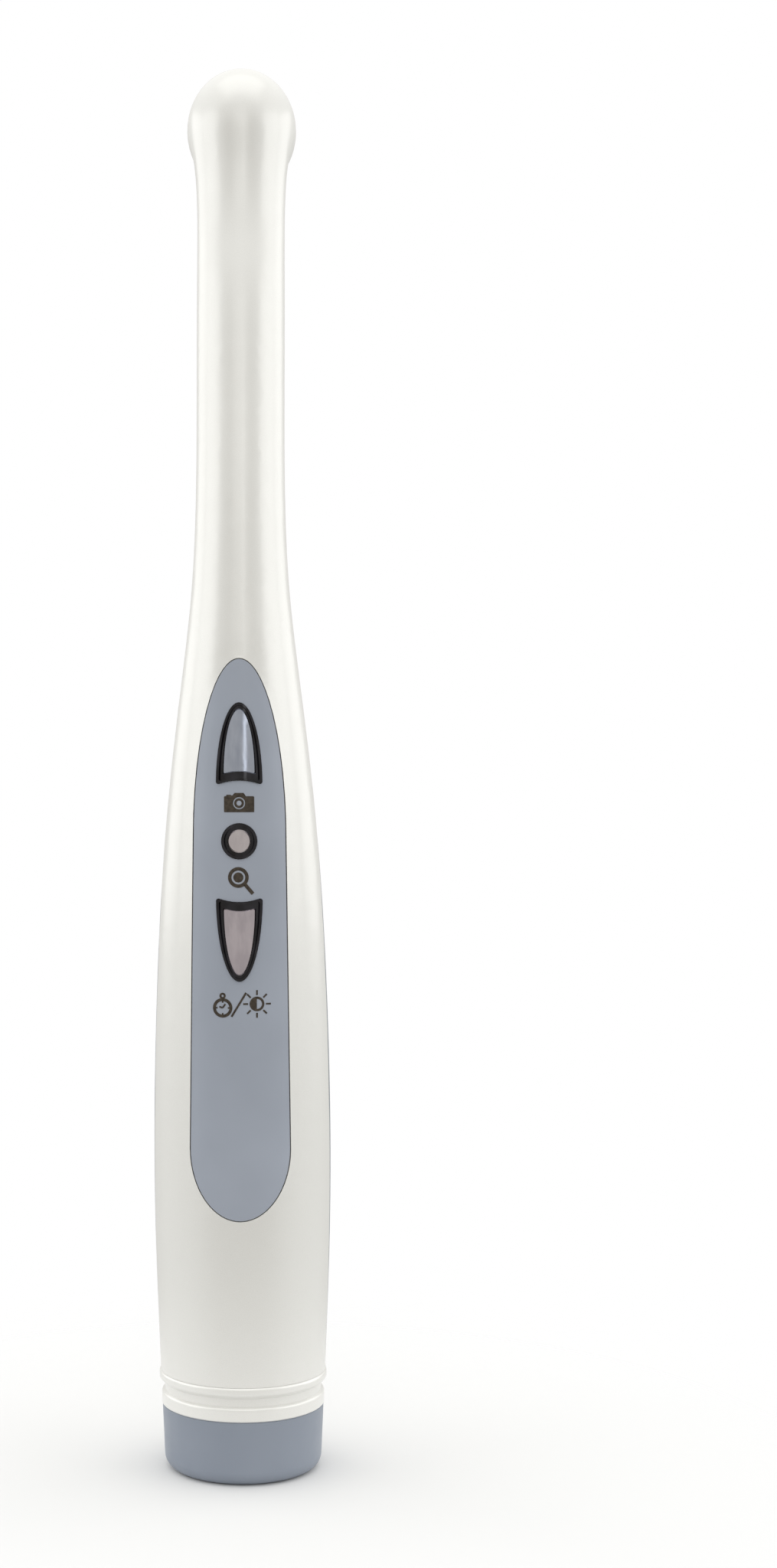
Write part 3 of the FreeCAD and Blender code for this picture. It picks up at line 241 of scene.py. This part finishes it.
def circuit_board(name, mask, trace, pitch, line, node, plain_rim, painted_glow=0.0):
    """Solder mask with tracks under it, and a plain rim.

    A glow value above zero lets the board glow a little: painted light, as if its chips shone on it.
    """
    shader = Shader(name, Coat_Weight=0.3, Coat_Roughness=0.2)
    brick = shader.nodes.new("ShaderNodeTexBrick")
    brick.inputs["Scale"].default_value = 1.0 / pitch
    brick.inputs["Mortar Size"].default_value = line
    brick.inputs["Color1"].default_value = (*mask, 1.0)
    brick.inputs["Color2"].default_value = (*mask, 1.0)
    brick.inputs["Mortar"].default_value = (*trace, 1.0)
    shader.links.new(shader.place, brick.inputs["Vector"])
    reach = shader.nodes.new("ShaderNodeVectorMath")
    reach.operation = "DISTANCE"
    reach.inputs[1].default_value = middle_of(node)
    shader.links.new(shader.place, reach.inputs[0])
    rim = shader.nodes.new("ShaderNodeMapRange")
    half_length = (high_of(node) - low_of(node)).length / 2
    rim.inputs["From Min"].default_value = half_length - plain_rim
    rim.inputs["From Max"].default_value = half_length - plain_rim * 0.9
    shader.links.new(reach.outputs["Value"], rim.inputs["Value"])
    tone = shader.nodes.new("ShaderNodeMix")
    tone.data_type = "RGBA"
    tone.inputs["B"].default_value = (*mask, 1.0)
    shader.links.new(rim.outputs["Result"], tone.inputs["Factor"])
    shader.links.new(brick.outputs["Color"], tone.inputs["A"])
    shader.use(tone.outputs["Result"], "Base Color")
    # A glow above zero is painted light: the board is no lamp.
    shader.use(tone.outputs["Result"], "Emission Color")
    shader.surface.inputs["Emission Strength"].default_value = painted_glow
    shader.use(shader.spread(shader.noise(1 * MM), 0.35, 0.5), "Roughness")
    shader.bump(brick.outputs["Fac"], 0.2, 0.02 * MM)
    return shader.material


def barrel_black():
    """Deep black anodised barrel."""
    shader = Shader("barrel_black", Specular_IOR_Level=0.12)
    cloud = shader.noise(0.8 * MM, 2.0)
    blacks = [(0.3, (0.0015, 0.0015, 0.0015)), (0.7, (0.004, 0.0035, 0.003))]
    shader.use(shader.ramp(cloud, blacks), "Base Color")
    shader.use(shader.spread(cloud, 0.16, 0.24), "Roughness")
    return shader.material


def lens_glass():
    """Coated lens glass: the coating, kept simple as a low index, leaves little reflection."""
    shader = Shader("lens_glass", Base_Color=(0.72, 0.74, 0.86, 1.0), Transmission_Weight=1.0, IOR=1.09)
    shader.use(shader.spread(shader.noise(2 * MM), 0.0, 0.02), "Roughness")
    return shader.material


# ------------------------------------------------------------ mesh builders
def new_piece(name, mesh, body, material):
    """Put a mesh in the scene, riding on a body, with its slot and material."""
    piece = bpy.data.objects.new(name, mesh)
    bpy.context.scene.collection.objects.link(piece)
    piece.data.materials.clear()
    piece.data.materials.append(material)
    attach(piece, body)
    return piece


def flat_outline(loops):
    """A flat triangulated shape from closed loops of (x, z) points; inner loops are holes."""
    curve = bpy.data.curves.new("outline", "CURVE")
    curve.dimensions = "2D"
    curve.fill_mode = "BOTH"
    for loop in loops:
        spline = curve.splines.new("POLY")
        spline.points.add(len(loop) - 1)
        for point, (x, z) in zip(spline.points, loop):
            point.co = (x, z, 0, 1)
        spline.use_cyclic_u = True
    carrier = bpy.data.objects.new("outline", curve)
    bpy.context.scene.collection.objects.link(carrier)
    bpy.context.view_layer.update()
    mesh = bpy.data.meshes.new_from_object(carrier.evaluated_get(bpy.context.evaluated_depsgraph_get()))
    bpy.data.objects.remove(carrier)
    bpy.data.curves.remove(curve)
    return mesh


def surface_tree(*nodes):
    """A ray-casting tree of some CAD nodes."""
    vertices = []
    faces = []
    for node in nodes:
        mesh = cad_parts[node].data
        start = len(vertices)
        vertices.extend(vertex.co.copy() for vertex in mesh.vertices)
        faces.extend([start + index for index in polygon.vertices] for polygon in mesh.polygons)
    return BVHTree.FromPolygons(vertices, faces)


def laid_print(name, shapes, place, tree, facing, material):
    """A thin print that follows a curved surface, fixed to the handle.

    The shapes are drawn in millimetres round a place given as x and z, seen along
    Y, then cut finely and dropped onto the surface.
    """
    finest = 0.25 * MM
    proud = 0.03 * MM
    sheet = bmesh.new()
    for loops in shapes:
        moved = [[(place[0] + x * MM, place[1] + z * MM) for x, z in loop] for loop in loops]
        sheet.from_mesh(flat_outline(moved))
    bmesh.ops.remove_doubles(sheet, verts=sheet.verts, dist=0.001 * MM)
    for _ in range(4):
        long_edges = [edge for edge in sheet.edges if edge.calc_length() > finest]
        if not long_edges:
            break
        bmesh.ops.subdivide_edges(sheet, edges=long_edges, cuts=1)
        bmesh.ops.triangulate(sheet, faces=[face for face in sheet.faces if len(face.verts) > 3])
    for vertex in sheet.verts:
        start = Vector((vertex.co.x, 0.1 * facing.y, vertex.co.y))
        vertex.co = tree.ray_cast(start, -facing)[0] + facing * proud
    bmesh.ops.recalc_face_normals(sheet, faces=sheet.faces)
    turned_away = [face for face in sheet.faces if face.normal.dot(facing) < 0]
    bmesh.ops.reverse_faces(sheet, faces=turned_away)
    edges = [edge for edge in sheet.edges if edge.is_boundary]
    walls = bmesh.ops.extrude_edge_only(sheet, edges=edges)
    for element in walls["geom"]:
        if isinstance(element, bmesh.types.BMVert):
            element.co -= facing * (proud + 0.02 * MM)
    mesh = bpy.data.meshes.new(name)
    sheet.to_mesh(mesh)
    sheet.free()
    return new_piece(name, mesh, "handle", material)


def circle_loop(x, z, radius, steps=40, start=0.0, sweep=2 * math.pi):
    """Points on a circle or, with a smaller sweep, on an arc."""
    closed = abs(sweep - 2 * math.pi) < 0.001
    count = steps if closed else steps + 1
    points = []
    for step in range(count):
        angle = start + sweep * step / steps
        points.append((x + radius * math.cos(angle), z + radius * math.sin(angle)))
    return points


def bar_loop(x0, z0, x1, z1, width):
    """A straight bar between two points."""
    along = Vector((x1 - x0, z1 - z0)).normalized()
    side = Vector((-along.y, along.x)) * width / 2
    return [
        (x0 + side.x, z0 + side.y),
        (x1 + side.x, z1 + side.y),
        (x1 - side.x, z1 - side.y),
        (x0 - side.x, z0 - side.y),
    ]


def turned(name, outline, y, axis_z, body, material, steps=96):
    """A closed ring or disc turned round the camera axis from (radius, forward) pairs."""
    mesh = bmesh.new()
    rings = []
    for step in range(steps):
        angle = 2 * math.pi * step / steps
        ring = []
        for radius, forward in outline:
            point = (radius * math.cos(angle), y + forward, axis_z + radius * math.sin(angle))
            ring.append(mesh.verts.new(point))
        rings.append(ring)
    count = len(outline)
    for step in range(steps):
        here = rings[step]
        after = rings[(step + 1) % steps]
        for index in range(count):
            nearby = (index + 1) % count
            mesh.faces.new((here[index], here[nearby], after[nearby], after[index]))
    bmesh.ops.remove_doubles(mesh, verts=mesh.verts, dist=0.0001 * MM)
    bmesh.ops.recalc_face_normals(mesh, faces=mesh.faces)
    data = bpy.data.meshes.new(name)
    mesh.to_mesh(data)
    mesh.free()
    data.shade_smooth()
    data.set_sharp_from_angle(angle=math.radians(35))
    return new_piece(name, data, body, material)


# ----------------------------------------------------- materials on CAD nodes
def paint(nodes, material):
    """Give CAD nodes their finish."""
    for node in nodes:
        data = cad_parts[node].data
        data.materials.clear()
        data.materials.append(material)


def dress_cad_nodes():
    """Give every CAD node its material."""
    white = pearl_white()
    paint(["front_shell", "rear_shell", "ribbed_collar"], white)
    panel_grey = soft_plastic("panel_grey", (0.34, 0.372, 0.437), (0.375, 0.41, 0.48), 0.34)
    paint(["control_panel"], panel_grey)
    trim_grey = soft_plastic("side_trim_grey", (0.19, 0.22, 0.25), (0.24, 0.27, 0.30), 0.45)
    paint(["side_trim_left", "side_trim_right"], trim_grey)
    cap_grey = soft_plastic("cap_grey", (0.225, 0.255, 0.31), (0.255, 0.285, 0.34), 0.42)
    paint(["base_cap"], cap_grey)
    rear_grey = soft_plastic("rear_button_grey", (0.32, 0.36, 0.445), (0.35, 0.395, 0.485), 0.34)
    paint(["rear_button"], rear_grey)
    paint(["upper_button_frame", "lower_button_frame", "middle_button_ring"], black_gloss())
    button_metals = {
        "upper_button": ((0.43, 0.47, 0.57), (0.53, 0.57, 0.67), 0.09),
        "lower_button": ((0.54, 0.49, 0.54), (0.68, 0.62, 0.67), 0.07),
        "middle_button": ((0.62, 0.57, 0.60), (0.74, 0.69, 0.71), 0.08),
    }
    for node, (dark, light, roughness) in button_metals.items():
        paint([node], mirror_metal(node + "_metal", dark, light, roughness))
    paint(["head_bezel"], mirror_metal("bezel_chrome", (0.30, 0.29, 0.28), (0.60, 0.59, 0.58), 0.07))
    paint(["nameplate"], nameplate_metal())
    paint(["nameplate_window"], clear_plastic("window_resin", (0.97, 0.985, 0.99), 0.03, 1.49))
    paint(["inspection_sticker"], foil())
    paint(["lens_barrel"], barrel_black())
    brass = mirror_metal("barrel_brass", (0.60, 0.56, 0.49), (0.80, 0.77, 0.71), 0.12)
    paint(["barrel_trim_ring"], brass)
    paint(["socket_contacts"], mirror_metal("contact_brass", (0.60, 0.42, 0.14), (0.75, 0.56, 0.22), 0.2))
    steel = mirror_metal("part_steel", (0.35, 0.35, 0.36), (0.52, 0.52, 0.53), 0.22)
    paint(["socket_shell", "socket_nut", "board_screws", "shell_screws", "front_switches"], steel)
    rubber = plain_plastic("soft_rubber", (0.012, 0.012, 0.012), (0.025, 0.025, 0.025), 0.7)
    paint(["cap_seal", "wire_harness"], rubber)
    black = plain_plastic("dark_plastic", (0.010, 0.010, 0.011), (0.022, 0.022, 0.024), 0.45)
    paint(["socket_insulator", "processor_chip", "memory_chips", "rear_switch", "image_sensor"], black)
    cream = plain_plastic("cream_plastic", (0.55, 0.50, 0.38), (0.66, 0.62, 0.48), 0.5)
    paint(["sensor_connector", "flex_connector", "harness_connector"], cream)
    green_mask, green_track = (0.01, 0.09, 0.04), (0.03, 0.16, 0.07)
    for node in ("main_board", "sensor_board"):
        green = circuit_board(node + "_green", green_mask, green_track, 1.1 * MM, 0.03, node, 0.5 * MM)
        paint([node], green)
    board_white, board_track = (0.80, 0.80, 0.79), (0.03, 0.035, 0.07)
    # The light board's small glow (0.35) is painted light, standing in for light reaching it through the
    # cover.
    light_white = circuit_board(
        "light_board_white", board_white, board_track, 0.5 * MM, 0.08, "led_board", 3.75 * MM, 0.35)
    paint(["led_board"], light_white)
    paint(["flex_cable"], plain_plastic("flex_amber", (0.30, 0.12, 0.02), (0.42, 0.19, 0.04), 0.3))
    paint(["rear_lens", "front_lens", "ir_filter"], lens_glass())


# -------------------------------------------------------------- panel signs
# A sign is a list of shapes in millimetres round its middle; a shape is an outline with its holes.
def ring_shape(x, z, outer, inner):
    return [circle_loop(x, z, outer), circle_loop(x, z, inner)]


def spoke_shape(x, z, angle, inner, outer, width):
    """A straight bar that points away from a middle."""
    across = math.cos(angle)
    up = math.sin(angle)
    return [bar_loop(x + inner * across, z + inner * up, x + outer * across, z + outer * up, width)]


def camera_sign():
    """A small stills camera: body with a hump, a lens ring and its middle."""
    body = [
        (-2.05, -1.3), (2.05, -1.3), (2.1, -1.2), (2.1, 0.8), (2.0, 0.92), (0.95, 0.92), (0.62, 1.38),
        (-0.62, 1.38), (-0.9, 1.05), (-1.1, 1.02), (-1.15, 1.12), (-1.75, 1.12), (-1.8, 0.95),
        (-2.05, 0.92), (-2.1, 0.8), (-2.1, -1.2),
    ]
    return [[body, circle_loop(0, -0.05, 0.84)], ring_shape(0, -0.05, 0.68, 0.36)]


def magnifier_sign():
    """A magnifying glass with a dot in it."""
    handle = [bar_loop(0.8, -0.85, 1.9, -2.15, 0.5)]
    return [ring_shape(-0.12, 0.12, 1.44, 0.96), [circle_loop(-0.12, 0.12, 0.7)], handle]


def timer_sign():
    """A stop watch with its crown, hands and ticks."""
    middle = -0.25
    shapes = [ring_shape(0, middle, 1.36, 0.94), ring_shape(0, 1.42, 0.44, 0.16)]
    shapes.append(spoke_shape(0, middle, math.radians(55), 0, 0.66, 0.24))
    shapes.append(spoke_shape(0, middle, math.radians(160), 0, 0.5, 0.24))
    for quarter in range(4):
        shapes.append(spoke_shape(0, middle, math.pi * quarter / 2, 0.72, 1.0, 0.22))
    return shapes


def brightness_sign():
    """A half-filled sun with eight rays."""
    shapes = [ring_shape(0, 0, 1.02, 0.7)]
    shapes.append([circle_loop(-0.02, 0, 0.74, 24, math.pi / 2, math.pi)])
    for ray in range(8):
        shapes.append(spoke_shape(0, 0, math.pi * ray / 4, 1.24, 1.92, 0.24))
    return shapes


def slash_sign():
    return [[bar_loop(-1.12, -1.72, 0.92, 1.62, 0.28)]]


def build_panel_signs():
    """The printed signs between and below the buttons."""
    ink = print_ink()
    tree = surface_tree("control_panel")
    ring_top = high_of("middle_button_ring").z
    ring_foot = low_of("middle_button_ring").z
    upper_foot = low_of("upper_button_frame").z
    lower_top = high_of("lower_button_frame").z
    lower_tip = low_of("lower_button_frame").z
    camera_height = (upper_foot + ring_top) / 2 + 0.1 * MM
    magnifier_height = (ring_foot + lower_top) / 2 + 0.1 * MM
    signs = {
        "sign_camera": (camera_sign(), 0.0, camera_height),
        "sign_magnifier": (magnifier_sign(), 0.0, magnifier_height),
        "sign_timer": (timer_sign(), -2.36 * MM, lower_tip - 3.45 * MM),
        "sign_slash": (slash_sign(), 0.0, lower_tip - 3.2 * MM),
        "sign_brightness": (brightness_sign(), 2.42 * MM, lower_tip - 3.15 * MM),
    }
    for name, (shapes, x, z) in signs.items():
        laid_print(name, shapes, (x, z), tree, FRONT, ink)


# --------------------------------------------------------------------- head
def build_light_cover():
    """The clear cover with its field of tiny prisms on the inside."""
    low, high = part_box("led_cover")
    trim_overlap = 0.04 * MM
    axis_z = middle_of("led_cover").z
    outer = (high.x - low.x) / 2
    hole = high_of("barrel_trim_ring").x - trim_overlap
    face = high.y
    depth = 1.55 * MM
    pitch = 0.5 * MM
    prism = 0.11 * MM
    cells = int(outer / pitch) + 1
    mesh = bmesh.new()
    corners = {}
    span = range(-cells, cells + 1)
    for i in span:
        for k in span:
            corners[i, k] = mesh.verts.new((i * pitch, face - depth, axis_z + k * pitch))
    for i in span[:-1]:
        for k in span[:-1]:
            place = ((i + 0.5) * pitch, face - depth - prism, axis_z + (k + 0.5) * pitch)
            tip = mesh.verts.new(place)
            a, b = corners[i, k], corners[i + 1, k]
            c, d = corners[i + 1, k + 1], corners[i, k + 1]
            for first, second in ((a, b), (b, c), (c, d), (d, a)):
                mesh.faces.new((first, second, tip))
    reach = cells * pitch
    front = [mesh.verts.new((x * reach, face + 1 * MM, axis_z + z * reach))
             for x, z in ((-1, -1), (1, -1), (1, 1), (-1, 1))]
    mesh.faces.new(front)
    edge_rows = [
        [corners[i, -cells] for i in span],
        [corners[cells, k] for k in span],
        [corners[i, cells] for i in reversed(span)],
        [corners[-cells, k] for k in reversed(span)],
    ]
    for side, row in enumerate(edge_rows):
        mesh.faces.new((*row, front[(side + 1) % 4], front[side]))
    bmesh.ops.recalc_face_normals(mesh, faces=mesh.faces)
    block = bpy.data.meshes.new("prism_block")
    mesh.to_mesh(block)
    mesh.free()

    total = face - low.y
    wall = 0.5 * MM
    bevel = 0.3 * MM
    shoulder = 0.09 * MM
    spare = 0.3 * MM
    hub = hole + 0.25 * MM
    plate_back = total - depth - spare
    outline = [
        (outer, 0.0), (outer, total - bevel), (outer - shoulder, total - shoulder),
        (outer - bevel, total), (hole, total), (hole, 0.0), (hub, 0.0), (hub, plate_back),
        (outer - wall, plate_back), (outer - wall, 0.0),
    ]
    clear = clear_plastic("cover_polycarbonate", (0.98, 0.99, 1.0))
    cover = turned("clear_light_cover", outline, low.y, axis_z, "handle", clear)

    cutter = bpy.data.objects.new("prism_block", block)
    bpy.context.scene.collection.objects.link(cutter)
    keep = cover.modifiers.new("prisms", "BOOLEAN")
    keep.operation = "DIFFERENCE"
    keep.solver = "EXACT"
    keep.object = prism_negative(cutter, hub, outer - wall, low.y, face, axis_z)
    bpy.context.view_layer.update()
    graph = bpy.context.evaluated_depsgraph_get()
    finished = bpy.data.meshes.new_from_object(cover.evaluated_get(graph))
    helper = keep.object
    cover.modifiers.clear()
    cover.data = finished
    cover.data.set_sharp_from_angle(angle=math.radians(25))
    bpy.data.objects.remove(helper)
    bpy.data.objects.remove(cutter)
    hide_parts("led_cover")


def prism_negative(block, inner, outer, back, face, axis_z):
    """The ring of air behind the prisms: a tube with the prism block taken away."""
    mesh = bmesh.new()
    steps = 96
    start = back - 1 * MM
    end = face - 0.4 * MM
    rings = []
    for step in range(steps):
        angle = 2 * math.pi * step / steps
        ring = []
        for radius, y in ((inner, start), (outer, start), (outer, end), (inner, end)):
            ring.append(mesh.verts.new((radius * math.cos(angle), y, axis_z + radius * math.sin(angle))))
        rings.append(ring)
    for step in range(steps):
        here, after = rings[step], rings[(step + 1) % steps]
        for index in range(4):
            mesh.faces.new((here[index], here[(index + 1) % 4], after[(index + 1) % 4], after[index]))
    bmesh.ops.recalc_face_normals(mesh, faces=mesh.faces)
    data = bpy.data.meshes.new("prism_air")
    mesh.to_mesh(data)
    mesh.free()
    tube = bpy.data.objects.new("prism_air", data)
    bpy.context.scene.collection.objects.link(tube)
    cut = tube.modifiers.new("cut", "BOOLEAN")
    cut.operation = "DIFFERENCE"
    cut.solver = "EXACT"
    cut.object = block
    bpy.context.view_layer.update()
    graph = bpy.context.evaluated_depsgraph_get()
    finished = bpy.data.meshes.new_from_object(tube.evaluated_get(graph))
    tube.modifiers.clear()
    tube.data = finished
    return tube


def build_light_chips():
    """Twelve chips: a white ceramic base with a domed yellow phosphor window."""
    base_material = plain_plastic("chip_ceramic", (0.70, 0.70, 0.66), (0.80, 0.80, 0.76), 0.4)
    yellow = phosphor()
    axis_z = middle_of("led_board").z
    back = low_of("leds").y
    high = high_of("leds").y - back
    count = 12
    circle = 4.78 * MM
    base_size = (1.4 * MM, 1.8 * MM, high * 0.55, 0.08 * MM)
    dome_size = (1.3 * MM, 1.7 * MM, high * 0.42, 0.15 * MM)
    bases = bmesh.new()
    domes = bmesh.new()
    for number in range(count):
        turn = Matrix.Rotation(2 * math.pi * number / count, 4, "Y")
        place = Matrix.Translation((0, back, axis_z)) @ turn @ Matrix.Translation((0, 0, circle))
        add_rounded_block(bases, place, *base_size)
        on_top = place @ Matrix.Translation((0, base_size[2], 0))
        add_rounded_block(domes, on_top, *dome_size)
    for name, source, material in (("light_chip_bases", bases, base_material),
                                   ("light_chip_phosphor", domes, yellow)):
        data = bpy.data.meshes.new(name)
        source.to_mesh(data)
        source.free()
        piece = new_piece(name, data, "handle", material)
        if name == "light_chip_bases":
            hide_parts("leds")


def add_rounded_block(mesh, place, wide, tall, deep, rounding):
    """A block with rounded front edges, standing on its back face."""
    made = bmesh.ops.create_cube(mesh, size=1.0)
    verts = made["verts"]
    bmesh.ops.scale(mesh, verts=verts, vec=(wide, deep, tall))
    bmesh.ops.translate(mesh, verts=verts, vec=(0, deep / 2, 0))
    edges = {edge for vert in verts for edge in vert.link_edges}
    front = [edge for edge in edges if max(v.co.y for v in edge.verts) > deep * 0.9]
    rounded = bmesh.ops.bevel(mesh, geom=front, offset=rounding, segments=3, affect="EDGES")
    touched = {vert for face in rounded["faces"] for vert in face.verts} | {v for v in verts if v.is_valid}
    touched |= {other for vert in list(touched) for edge in vert.link_edges for other in edge.verts}
    bmesh.ops.transform(mesh, matrix=place, verts=list(touched))


def build_front_glass():
    """The domed front lens with dark steps behind it."""
    low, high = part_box("front_lens")
    axis_z = middle_of("front_lens").z
    radius = (high.x - low.x) / 2
    rise = 0.2 * MM
    edge = high.y - low.y - rise
    outline = [(0.0, 0.0), (radius, 0.0), (radius, edge)]
    steps = 10
    for step in range(1, steps + 1):
        share = step / steps
        outline.append((radius * (1 - share), edge + rise * (1 - (1 - share) ** 2)))
    outline[-1] = (0.0, edge + rise)
    glass = lens_glass()
    dome = turned("front_glass", outline, low.y, axis_z, "handle", glass)
    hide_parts("front_lens")
    black = barrel_black()
    back = low.y - 1.6 * MM
    bore = 2.28 * MM
    steps_outline = [(bore, 0.0), (bore, 1.5 * MM), (1.9 * MM, 1.5 * MM), (1.9 * MM, 1.2 * MM),
                     (1.5 * MM, 1.2 * MM), (1.5 * MM, 0.8 * MM), (1.05 * MM, 0.8 * MM),
                     (1.05 * MM, 0.4 * MM), (0.6 * MM, 0.4 * MM), (0.6 * MM, 0.0)]
    turned("lens_baffle", steps_outline, back, axis_z, "handle", black)


# --------------------------------------------------------------------- base
def build_sticker_sign():
    """A plain tick on the sticker."""
    ink = print_ink()
    tree = surface_tree("inspection_sticker")
    centre = middle_of("inspection_sticker")
    tick = [(1.7, 0.15), (0.55, -1.35), (-1.9, 1.45), (-1.5, 1.8), (0.5, -0.62), (1.25, 0.5)]
    laid_print("sticker_tick", [[tick]], (0.0, centre.z), tree, BACK, ink)


# ------------------------------------------------------------ light and view
def build_stage():
    """A plain pale floor that fades out a hand's breadth from the object."""
    mesh = bmesh.new()
    bmesh.ops.create_circle(mesh, cap_ends=True, radius=3.0, segments=96)
    data = bpy.data.meshes.new("floor")
    mesh.to_mesh(data)
    mesh.free()
    floor = bpy.data.objects.new("floor", data)
    bpy.context.scene.collection.objects.link(floor)
    shader = Shader("floor_paper", Base_Color=(0.78, 0.78, 0.78, 1.0), Roughness=0.9)
    shader.bump(shader.noise(0.6 * MM, 2.0), 0.05, 0.02 * MM)
    distance = shader.nodes.new("ShaderNodeVectorMath")
    distance.operation = "LENGTH"
    shader.links.new(shader.place, distance.inputs[0])
    fade = shader.nodes.new("ShaderNodeMapRange")
    fade.interpolation_type = "SMOOTHSTEP"
    fade.inputs["From Min"].default_value = 0.025
    fade.inputs["From Max"].default_value = 0.12
    fade.inputs["To Min"].default_value = 1.0
    fade.inputs["To Max"].default_value = 0.0
    shader.links.new(distance.outputs["Value"], fade.inputs["Value"])
    shader.use(fade.outputs["Result"], "Alpha")
    data.materials.append(shader.material)


def build_world():
    """A white studio: bright at both sides and above, dimmer in front, behind and below."""
    world = bpy.data.worlds.new("studio")
    bpy.context.scene.world = world
    world.use_nodes = True
    nodes = world.node_tree.nodes
    links = world.node_tree.links

    def between(source, low, high):
        """0 below the low value and 1 above the high one."""
        remap = nodes.new("ShaderNodeMapRange")
        remap.interpolation_type = "SMOOTHSTEP"
        remap.inputs["From Min"].default_value = low
        remap.inputs["From Max"].default_value = high
        links.new(source, remap.inputs["Value"])
        return remap.outputs["Result"]

    def joined(operation, first, second=None):
        step = nodes.new("ShaderNodeMath")
        step.operation = operation
        links.new(first, step.inputs[0])
        if second is not None:
            links.new(second, step.inputs[1])
        return step.outputs["Value"]

    split = nodes.new("ShaderNodeSeparateXYZ")
    links.new(nodes.new("ShaderNodeTexCoord").outputs["Generated"], split.inputs["Vector"])
    sides = between(joined("ABSOLUTE", split.outputs["X"]), 0.45, 0.95)
    above = between(split.outputs["Z"], 0.18, 0.72)
    level = between(split.outputs["Z"], -0.8, 0.05)
    behind = between(split.outputs["Y"], 0.0, 0.6)
    half = nodes.new("ShaderNodeValue").outputs["Value"]
    half.default_value = 0.5
    glow = nodes.new("ShaderNodeMix")
    glow.data_type = "RGBA"
    links.new(joined("MAXIMUM", sides, joined("MULTIPLY", behind, half)), glow.inputs["Factor"])
    glow.inputs["A"].default_value = (0.55, 0.535, 0.50, 1.0)
    glow.inputs["B"].default_value = (0.85, 0.855, 0.84, 1.0)
    ceiling = nodes.new("ShaderNodeMix")
    ceiling.data_type = "RGBA"
    links.new(above, ceiling.inputs["Factor"])
    links.new(glow.outputs["Result"], ceiling.inputs["A"])
    ceiling.inputs["B"].default_value = (1.12, 1.12, 1.10, 1.0)
    room = nodes.new("ShaderNodeMix")
    room.data_type = "RGBA"
    links.new(level, room.inputs["Factor"])
    room.inputs["A"].default_value = (0.30, 0.295, 0.28, 1.0)
    links.new(ceiling.outputs["Result"], room.inputs["B"])
    seen = nodes.new("ShaderNodeMix")
    seen.data_type = "RGBA"
    links.new(nodes.new("ShaderNodeLightPath").outputs["Is Camera Ray"], seen.inputs["Factor"])
    links.new(room.outputs["Result"], seen.inputs["A"])
    seen.inputs["B"].default_value = (1.0, 1.0, 1.0, 1.0)
    links.new(seen.outputs["Result"], nodes["Background"].inputs["Color"])


def add_soft_box(name, place, target, wide, tall, power):
    """A large soft box aimed at a point."""
    light = bpy.data.lights.new(name, "AREA")
    light.shape = "RECTANGLE"
    light.size = wide
    light.size_y = tall
    light.energy = power
    lamp = bpy.data.objects.new(name, light)
    lamp.location = place
    lamp.rotation_euler = (Vector(target) - Vector(place)).to_track_quat("-Z", "Y").to_euler()
    bpy.context.scene.collection.objects.link(lamp)


def build_lights():
    """Soft boxes on both sides, one above, a weak one in front and a narrow strip."""
    middle = middle_of("front_shell")
    for side, name in ((-1, "left"), (1, "right")):
        add_soft_box("soft_box_" + name, (side * 0.5, -0.12, 0.24), middle, 0.4, 0.4, 0.42)
        add_soft_box("soft_box_back_" + name, (side * 0.5, 0.3, 0.24), middle, 0.4, 0.4, 0.42)
    add_soft_box("soft_box_top", (0, -0.1, 0.8), middle, 0.8, 0.6, 0.7)
    add_soft_box("soft_box_front", (0, -0.7, 0.45), middle, 0.4, 0.2, 0.14)
    add_soft_box("strip_box", (0.085, -0.6, 0.27), (0, 0, 0.11), 0.05, 0.3, 0.042)


def build_looks():
    """Plain display colours, so the white ground stays white."""
    bpy.context.scene.view_settings.view_transform = "Standard"


def build_camera():
    """The view from in front of the control panel, a third of a metre away.

    The camera looks level, is turned a little to one side and rolled very slightly.
    """
    distance = 0.3244
    eye = 0.0986
    turn = math.radians(1.6)
    level = math.radians(90)
    roll = math.radians(0.12)
    data = bpy.data.cameras.new("camera")
    data.sensor_width = 36.0
    data.lens = 51.33
    data.shift_x = 0.0935
    camera = bpy.data.objects.new("camera", data)
    camera.location = (distance * math.sin(turn), -distance * math.cos(turn), eye)
    camera.rotation_euler = (level, roll, turn)
    bpy.context.scene.collection.objects.link(camera)
    bpy.context.scene.camera = camera


# -------------------------------------------------------------------- build
dress_cad_nodes()
build_panel_signs()
build_light_chips()
build_light_cover()
build_front_glass()
build_sticker_sign()
build_stage()
build_world()
build_lights()
build_camera()
build_looks()
